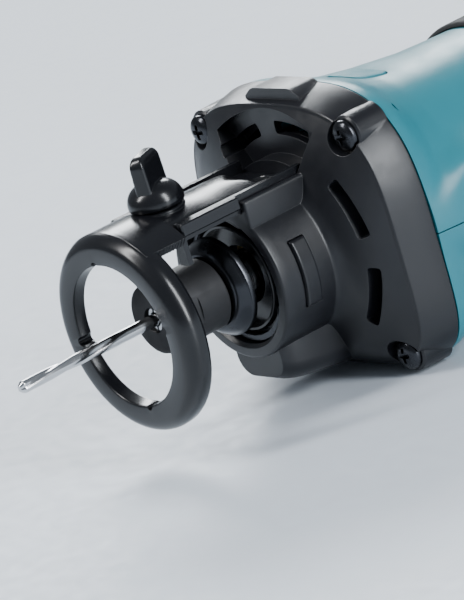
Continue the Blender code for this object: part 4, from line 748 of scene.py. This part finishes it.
# %% Turned nose parts
NUT_FINISH = finish("matt_black_nut", (0.03, 0.03, 0.032), 0.55, 0.6, grain=2600, lift=0.02, wear=0.4,
                    edge=0.2)
NUT_LOW, NUT_HIGH = span("collet_nut")
NUT = NUT_HIGH[2]
nut = turned("spindle_nut", [(3.25, NUT_LOW[1]), (NUT - 1.4, NUT_LOW[1]), (NUT - 0.3, NUT_LOW[1] + 0.7),
                             (NUT, NUT_LOW[1] + 1.6), (NUT, NUT_HIGH[1] - 0.5), (NUT - 0.5, NUT_HIGH[1]),
                             (6.7, NUT_HIGH[1]), (6.7, NUT_LOW[1] + 2.7), (4.9, NUT_LOW[1] + 2.7),
                             (3.25, NUT_LOW[1] + 1.1)], count=128)
carve(nut, [bar("flat", (x[0], NUT_LOW[1] + 2.2, -7), (x[1], NUT_LOW[1] + 8.6, 7), 0.4)
            for x in ((NUT - 0.7, NUT + 4), (-NUT - 4, 0.7 - NUT))])
dress(nut, NUT_FINISH, "nut", "dark_steel", "collet_nut")

DISH_LOW, DISH_HIGH = span("spindle_flange")
DISH = DISH_HIGH[2]
bowl = np.linspace(0, 1, 12)
dish = [(6.7, DISH_LOW[1])] + [(NUT + 0.1 + (DISH - 0.5 - NUT) * t, DISH_LOW[1] + 3.0 * t ** 2.2)
                               for t in bowl]
dish += [(DISH - 0.1, DISH_LOW[1] + 3.2), (DISH, DISH_LOW[1] + 3.6), (DISH, DISH_HIGH[1]),
         (6.7, DISH_HIGH[1])]
dress(turned("slinger", dish, count=128), BLACKED, "spindle", "dark_steel", "spindle_flange")

PLATE_LOW, PLATE_HIGH = span("dust_plate")
plate = [(13.1, PLATE_LOW[1]), (13.7, PLATE_LOW[1]), (14.0, PLATE_LOW[1] + 0.3),
         (14.2, PLATE_LOW[1] + 1.5), (14.6, PLATE_LOW[1] + 1.7), (16.3, PLATE_LOW[1] + 1.7),
         (PLATE_HIGH[0], PLATE_LOW[1] + 2.0), (PLATE_HIGH[0], PLATE_HIGH[1]), (7.7, PLATE_HIGH[1]),
         (7.7, PLATE_LOW[1] + 2.7), (13.1, PLATE_LOW[1] + 2.7)]
dress(turned("dust_plate_turned", plate, count=144), GLOSS_BLACK, "tool", "black", "dust_plate")

# %% [markdown]
# ## The spiral bit
# A spiral bit is ground from round bar: two flutes wind up its front part and run out into the shank. The section
# is a circle with two hollows, and turning it a little more at each step along the bit gives a slow spiral.

# %% Bit
BIT_LOW, BIT_HIGH = span("cutting_bit")
BIT = 1.58


def bit_surface(rows=320, columns=64):
    """radius = R (1 - depth exp(-(angle from flute / width)^2)), turned by the twist at each step."""
    along = np.concatenate([BIT_LOW[1] + 2.2 * np.linspace(0, 1, 12) ** 1.2,
                            np.linspace(BIT_LOW[1] + 2.4, BIT_LOW[1] + 36, rows), [BIT_HIGH[1]]])[:, None]
    angle = np.arange(columns)[None, :] * TURN / columns
    run = np.clip(along - BIT_LOW[1], 0, 36)
    depth = 0.30 * np.clip((33 - run) / 6, 0, 1)
    away = (angle + math.pi / 2) % math.pi - math.pi / 2
    radius = BIT * (1 - depth * np.exp(-(away / 0.52) ** 2)) * np.clip((run + 0.5) / 1.6, 0, 1) ** 0.6
    twist = TURN * run / 46
    return solid("spiral_bit",
                 np.stack([radius * np.cos(angle + twist), np.broadcast_to(along, radius.shape),
                           radius * np.sin(angle + twist)], -1))


dress(bit_surface(), TOOL_STEEL, "bit", "steel", "cutting_bit")

# %% [markdown]
# ## Screws
# Each pan head screw has a low dome and a cross recess that tapers inwards. The recess is cut from the turned
# head, because its walls catch the light in a way that a painted cross never does.

# %% Cover screws
def cross(place, top):
    """A cross whose arms narrow as they go in."""
    rows = []
    for depth, reach, half in ((-0.5, 2.3, 0.62), (0.9, 1.7, 0.48), (1.5, 0.9, 0.36)):
        quarter = np.array([(reach, -half), (reach, half), (half, half)])
        ring = np.concatenate([quarter @ np.array([[math.cos(a), math.sin(a)],
                                                   [-math.sin(a), math.cos(a)]])
                               for a in np.arange(4) * math.pi / 2])
        rows.append(np.stack([ring[:, 0] + place[0], np.full(12, top + depth), ring[:, 1] + place[1]], -1))
    return solid("cross", np.array(rows))


for number in range(1, 5):
    low, high = span(f"cover_screw_{number}")
    place = ((low[0] + high[0]) / 2, (low[2] + high[2]) / 2)
    arc = np.radians(np.linspace(90, 12, 10))
    head = [(0, low[1])] + [(3.95 * math.cos(a) ** 0.9, low[1] + 1.5 * (1 - math.sin(a))) for a in arc[1:]]
    shank = [(4.0, low[1] + 1.7), (4.0, low[1] + 2.3), (1.9, low[1] + 2.3), (1.9, high[1] - 1),
             (0.8, high[1]), (0, high[1])]
    screw = turned(f"pan_screw_{number}", head + shank, centre=place, count=64)
    carve(screw, [cross(place, low[1])])
    dress(screw, BLACKED, "tool", "dark_steel", f"cover_screw_{number}")

# %% [markdown]
# ## Lock button
# The button is a curved pad let into the side of the neck. Its face follows the neck's curve, so it is a stack
# of arcs of nearly the neck's radius, rounded off at the rim.

# %% Lock button
def lock_pad():
    """Columns follow a circle of the neck's radius, and a quarter circle rounds the rim."""
    y = np.linspace(LOCK_LOW[1], LOCK_HIGH[1], 24)[:, None]
    z = np.linspace(LOCK_LOW[2], LOCK_HIGH[2], 90)[None, :]
    rim = np.minimum(np.minimum(y - LOCK_LOW[1], LOCK_HIGH[1] - y),
                     np.minimum(z - LOCK_LOW[2], LOCK_HIGH[2] - z))
    radius = LOCK_HIGH[0] - 0.02 - 0.45 * (1 - np.sqrt(1 - np.clip(1 - rim / 0.5, 0, 1) ** 2))
    outside = np.stack([np.sqrt(radius ** 2 - z ** 2), np.broadcast_to(y, radius.shape),
                        np.broadcast_to(z, radius.shape)], -1)
    inside = outside[:, ::-1].copy()
    inside[..., 0] = LOCK_LOW[0]
    return solid("lock_button_pad", np.concatenate([outside, inside], axis=1))


button = lock_pad()
middle = (LOCK_LOW[1] + LOCK_HIGH[1]) / 2
carve(button, [turned("pin_socket", [(0, 17), (2.1, 17), (2.1, 19.3), (0, 19.3)], "X", (middle, 0), 32)])
dress(button, CHARCOAL, "lock", "black", "shaft_lock_button")

# %% [markdown]
# ## Grip sleeve and switch
# The grip is a rubber sleeve over the housing's waist. Ribs run round it, deepest at the sides where the fingers
# close, and a window leaves room for the slide switch on top.

# %% Grip
SLEEVE_LOW, SLEEVE_HIGH = span("grip_sleeve")


def sleeve():
    """Skin plus thickness; ribs are a sharpened cosine along the tool, faded towards the top."""
    along = np.linspace(SLEEVE_LOW[1], SLEEVE_HIGH[1], 180)[:, None]
    angle = np.arange(168)[None, :] * TURN / 168
    end = np.clip(np.minimum(along - SLEEVE_LOW[1], SLEEVE_HIGH[1] - along) / 1.4, 0, 1)
    rib = np.clip(np.cos(along * TURN / 3.4), 0,
                  1) ** 0.7 * (1 - np.clip(np.sin(angle) * 1.6 - 0.4, 0, 1)) * (end >= 1)
    thick = 0.35 + 1.15 * np.sqrt(1 - (1 - end) ** 2) + 0.6 * rib
    x, z = skin(along + 0 * angle, angle + 0 * along, 0.0)
    scale = 1 + thick / np.hypot(x, z)
    outside = np.stack([x * scale, np.broadcast_to(along, x.shape), z * scale], -1)
    near = 1 + 0.3 / np.hypot(x, z)
    inside = np.stack([x * near, np.broadcast_to(along, x.shape), z * near], -1)[::-1]
    return solid("rubber_sleeve", np.concatenate([outside, inside]), wrap_rows=True)


grip = sleeve()
SWITCH_LOW, SWITCH_HIGH = span("switch_slider")
carve(grip, [bar("window", (-8.6, SWITCH_LOW[1] - 8, 20), (8.6, SWITCH_HIGH[1] + 2, 50), 2.0)])
dress(grip, RUBBER, "tool", "rubber", "grip_sleeve")


def switch_cap():
    """A saddle with ridges: height dips in the middle and a cosine adds the ridges."""
    y = np.linspace(SWITCH_LOW[1], SWITCH_HIGH[1], 80)[:, None]
    x = np.linspace(-7, 7, 30)[None, :]
    middle = (SWITCH_LOW[1] + SWITCH_HIGH[1]) / 2
    base = SWITCH_HIGH[2] - 3.1
    edge = np.clip(np.minimum(np.minimum(y - SWITCH_LOW[1], SWITCH_HIGH[1] - y), 7 - np.abs(x)) / 1.2, 0, 1)
    ridge = 0.35 * np.cos(y * TURN / 2.1) * (np.abs(y - middle) < 5)
    dished = 0.02 * (y - middle) ** 2
    top = base + 1.4 + 1.1 * np.sqrt(1 - (1 - edge) ** 2) + dished - 0.35 + ridge * (np.abs(x) < 5.6)
    top = np.minimum(top, SWITCH_HIGH[2])
    above = np.stack([np.broadcast_to(x, top.shape), np.broadcast_to(y, top.shape), top], -1)
    below = above[:, ::-1].copy()
    below[..., 2] = base
    return solid("slide_switch_cap", np.concatenate([above, below], axis=1))


cap = switch_cap()
carve(cap, [bar("stem", (-3.7, SWITCH_LOW[1] + 3, SWITCH_LOW[2]),
                (3.7, SWITCH_HIGH[1] - 4, SWITCH_HIGH[2] - 2), 0.3)], "UNION")
dress(cap, GLOSS_BLACK, "switch", "black", "switch_slider")

# %% [markdown]
# ## The battery
# The battery is two clamshell mouldings round a row of cells. Flat slabs would look like a stand-in, so the rear
# shell has a recessed panel, ribs along both flanks for the grip, and a seam where the halves meet.

# %% Battery cases
FRONT_LOW, FRONT_HIGH = span("battery_case_front")
REAR_LOW, REAR_HIGH = span("battery_case_rear")
CASE_HALF = REAR_HIGH[0]
CASE_MIDDLE = (REAR_LOW[2] + REAR_HIGH[2]) / 2
CASE_HEIGHT = (REAR_HIGH[2] - REAR_LOW[2]) / 2


def case_ring(y, inset, count=14):
    """A rectangle with corners of 7 mm, drawn in by the inset."""
    turn = np.linspace(0, math.pi / 2, count)
    angle = np.concatenate([quarter * math.pi / 2 + turn for quarter in range(4)])
    side = np.repeat(np.array([[1, 1], [-1, 1], [-1, -1], [1, -1]]), count, axis=0)
    core = side * (np.array([CASE_HALF, CASE_HEIGHT]) - 7)
    flat = core + (7 - inset) * np.stack([np.cos(angle), np.sin(angle)], -1)
    return np.stack([flat[:, 0], np.full(len(flat), y), flat[:, 1] + CASE_MIDDLE], -1)


def rounded_case(name, front, back, front_round, back_round):
    """Rings whose inset follows a quarter circle at each end."""
    turn = np.radians(np.linspace(0, 90, 8))
    rows = [case_ring(front + front_round * (1 - math.cos(a)), front_round * (1 - math.sin(a)))
            for a in turn]
    rows += [case_ring(back - back_round * (1 - math.cos(a)), back_round * (1 - math.sin(a)))
             for a in turn[::-1]]
    return solid(name, np.array(rows))


case_face = FRONT_LOW[1] + 6.0
front_case = rounded_case("battery_front_shell", case_face, FRONT_HIGH[1], 1.2, 0.4)
half, lip, end = 23.7, 19.7, HOUSING_END
rail = extruded("rail", [(-half, end - 5.4), (half, end - 5.4), (half, end - 3.3), (lip, end - 3.3),
                         (lip, end + 3), (-lip, end + 3), (-lip, end - 3.3), (-half, end - 3.3)], -18.4,
                35.8, "Z")
carve(front_case, [rail], "UNION")
hollow = bar("hollow", (2.4 - CASE_HALF, case_face + 2.4, REAR_LOW[2] + 2.4),
             (CASE_HALF - 2.4, FRONT_HIGH[1] + 4, REAR_HIGH[2] - 2.4), 0.3)
slots_for_blades = [bar("blade_slot", (x - 1, end - 7, -19.4), (x + 1, end - 0.6, -2.4), 0.2)
                    for x in (-9, 9)]
LATCH_LOW, LATCH_HIGH = span("battery_latch")
window = bar("latch_window", (-10.3, case_face - 1, LATCH_LOW[2] + 1.2),
             (10.3, case_face + 3.4, LATCH_HIGH[2] - 1.2), 0.8)
carve(front_case, [hollow, window] + slots_for_blades)
dress(front_case, CHARCOAL, "battery", "black", "battery_case_front")

rear_case = rounded_case("battery_rear_shell", REAR_LOW[1], REAR_HIGH[1], 0.4, 4.0)
carve(rear_case,
      [bar("rear_hollow", (2.4 - CASE_HALF, REAR_LOW[1] - 3, REAR_LOW[2] + 2.4),
           (CASE_HALF - 2.4, REAR_HIGH[1] - 2.4, REAR_HIGH[2] - 2.4), 0.3)])
panel = bar("panel", (-24, REAR_HIGH[1] - 0.8, CASE_MIDDLE - 38),
            (24, REAR_HIGH[1] + 2, CASE_MIDDLE + 38), 0.7)
grooves = [bar("groove", (flank * CASE_HALF - 0.9, REAR_LOW[1] + 7, CASE_MIDDLE - 26 + k * 4.4),
               (flank * CASE_HALF + 0.9, REAR_HIGH[1] - 9, CASE_MIDDLE - 24 + k * 4.4), 0.85)
           for flank in (-1, 1) for k in range(13)]
carve(rear_case, [panel] + grooves)
dress(rear_case, CHARCOAL, "battery", "black", "battery_case_rear")

latch = bar("latch_key", (-9.8, LATCH_LOW[1], LATCH_LOW[2] + 1.6),
            (9.8, LATCH_HIGH[1] - 0.6, LATCH_HIGH[2] - 1.6), 0.9)
carve(latch, [bar("key_rim", (-11.3, LATCH_HIGH[1] - 1.3, LATCH_LOW[2]),
                  (11.3, LATCH_HIGH[1], LATCH_HIGH[2]), 0.3)], "UNION")
carve(latch, [bar("rib_gap", (-8, LATCH_LOW[1] - 1, LATCH_LOW[2] + 4 + k * 2.2),
                  (8, LATCH_LOW[1] + 0.5, LATCH_LOW[2] + 5.1 + k * 2.2), 0.3) for k in range(5)])
dress(latch, GLOSS_BLACK, "latch", "black", "battery_latch")

# %% [markdown]
# ## Finishing the carried-over pieces
# Bearings, motor and fasteners are already true in the frame, so they keep their meshes and gain a finish.

# %% Carried-over finishes
CARRIED = {"steel": BRIGHT, "dark_steel": BLACKED, "copper": COPPER, "brass": BRASS, "board": BOARD,
           "cell": CELL_WRAP, "black": CHARCOAL, "teal": TEAL, "rubber": RUBBER,}
slots = {part["node"]: part["material_slot"] for part in frame["record"]["subparts"]}
OWN_FINISH = {"guide_bracket": PAINTED, "spring_ring": BLACKED}
for name, node in frame["nodes"].items():
    for index in range(len(node.data.materials)):
        node.data.materials[index] = OWN_FINISH.get(name, CARRIED[slots[name]])
print(len(frame["nodes"]), "nodes finished")
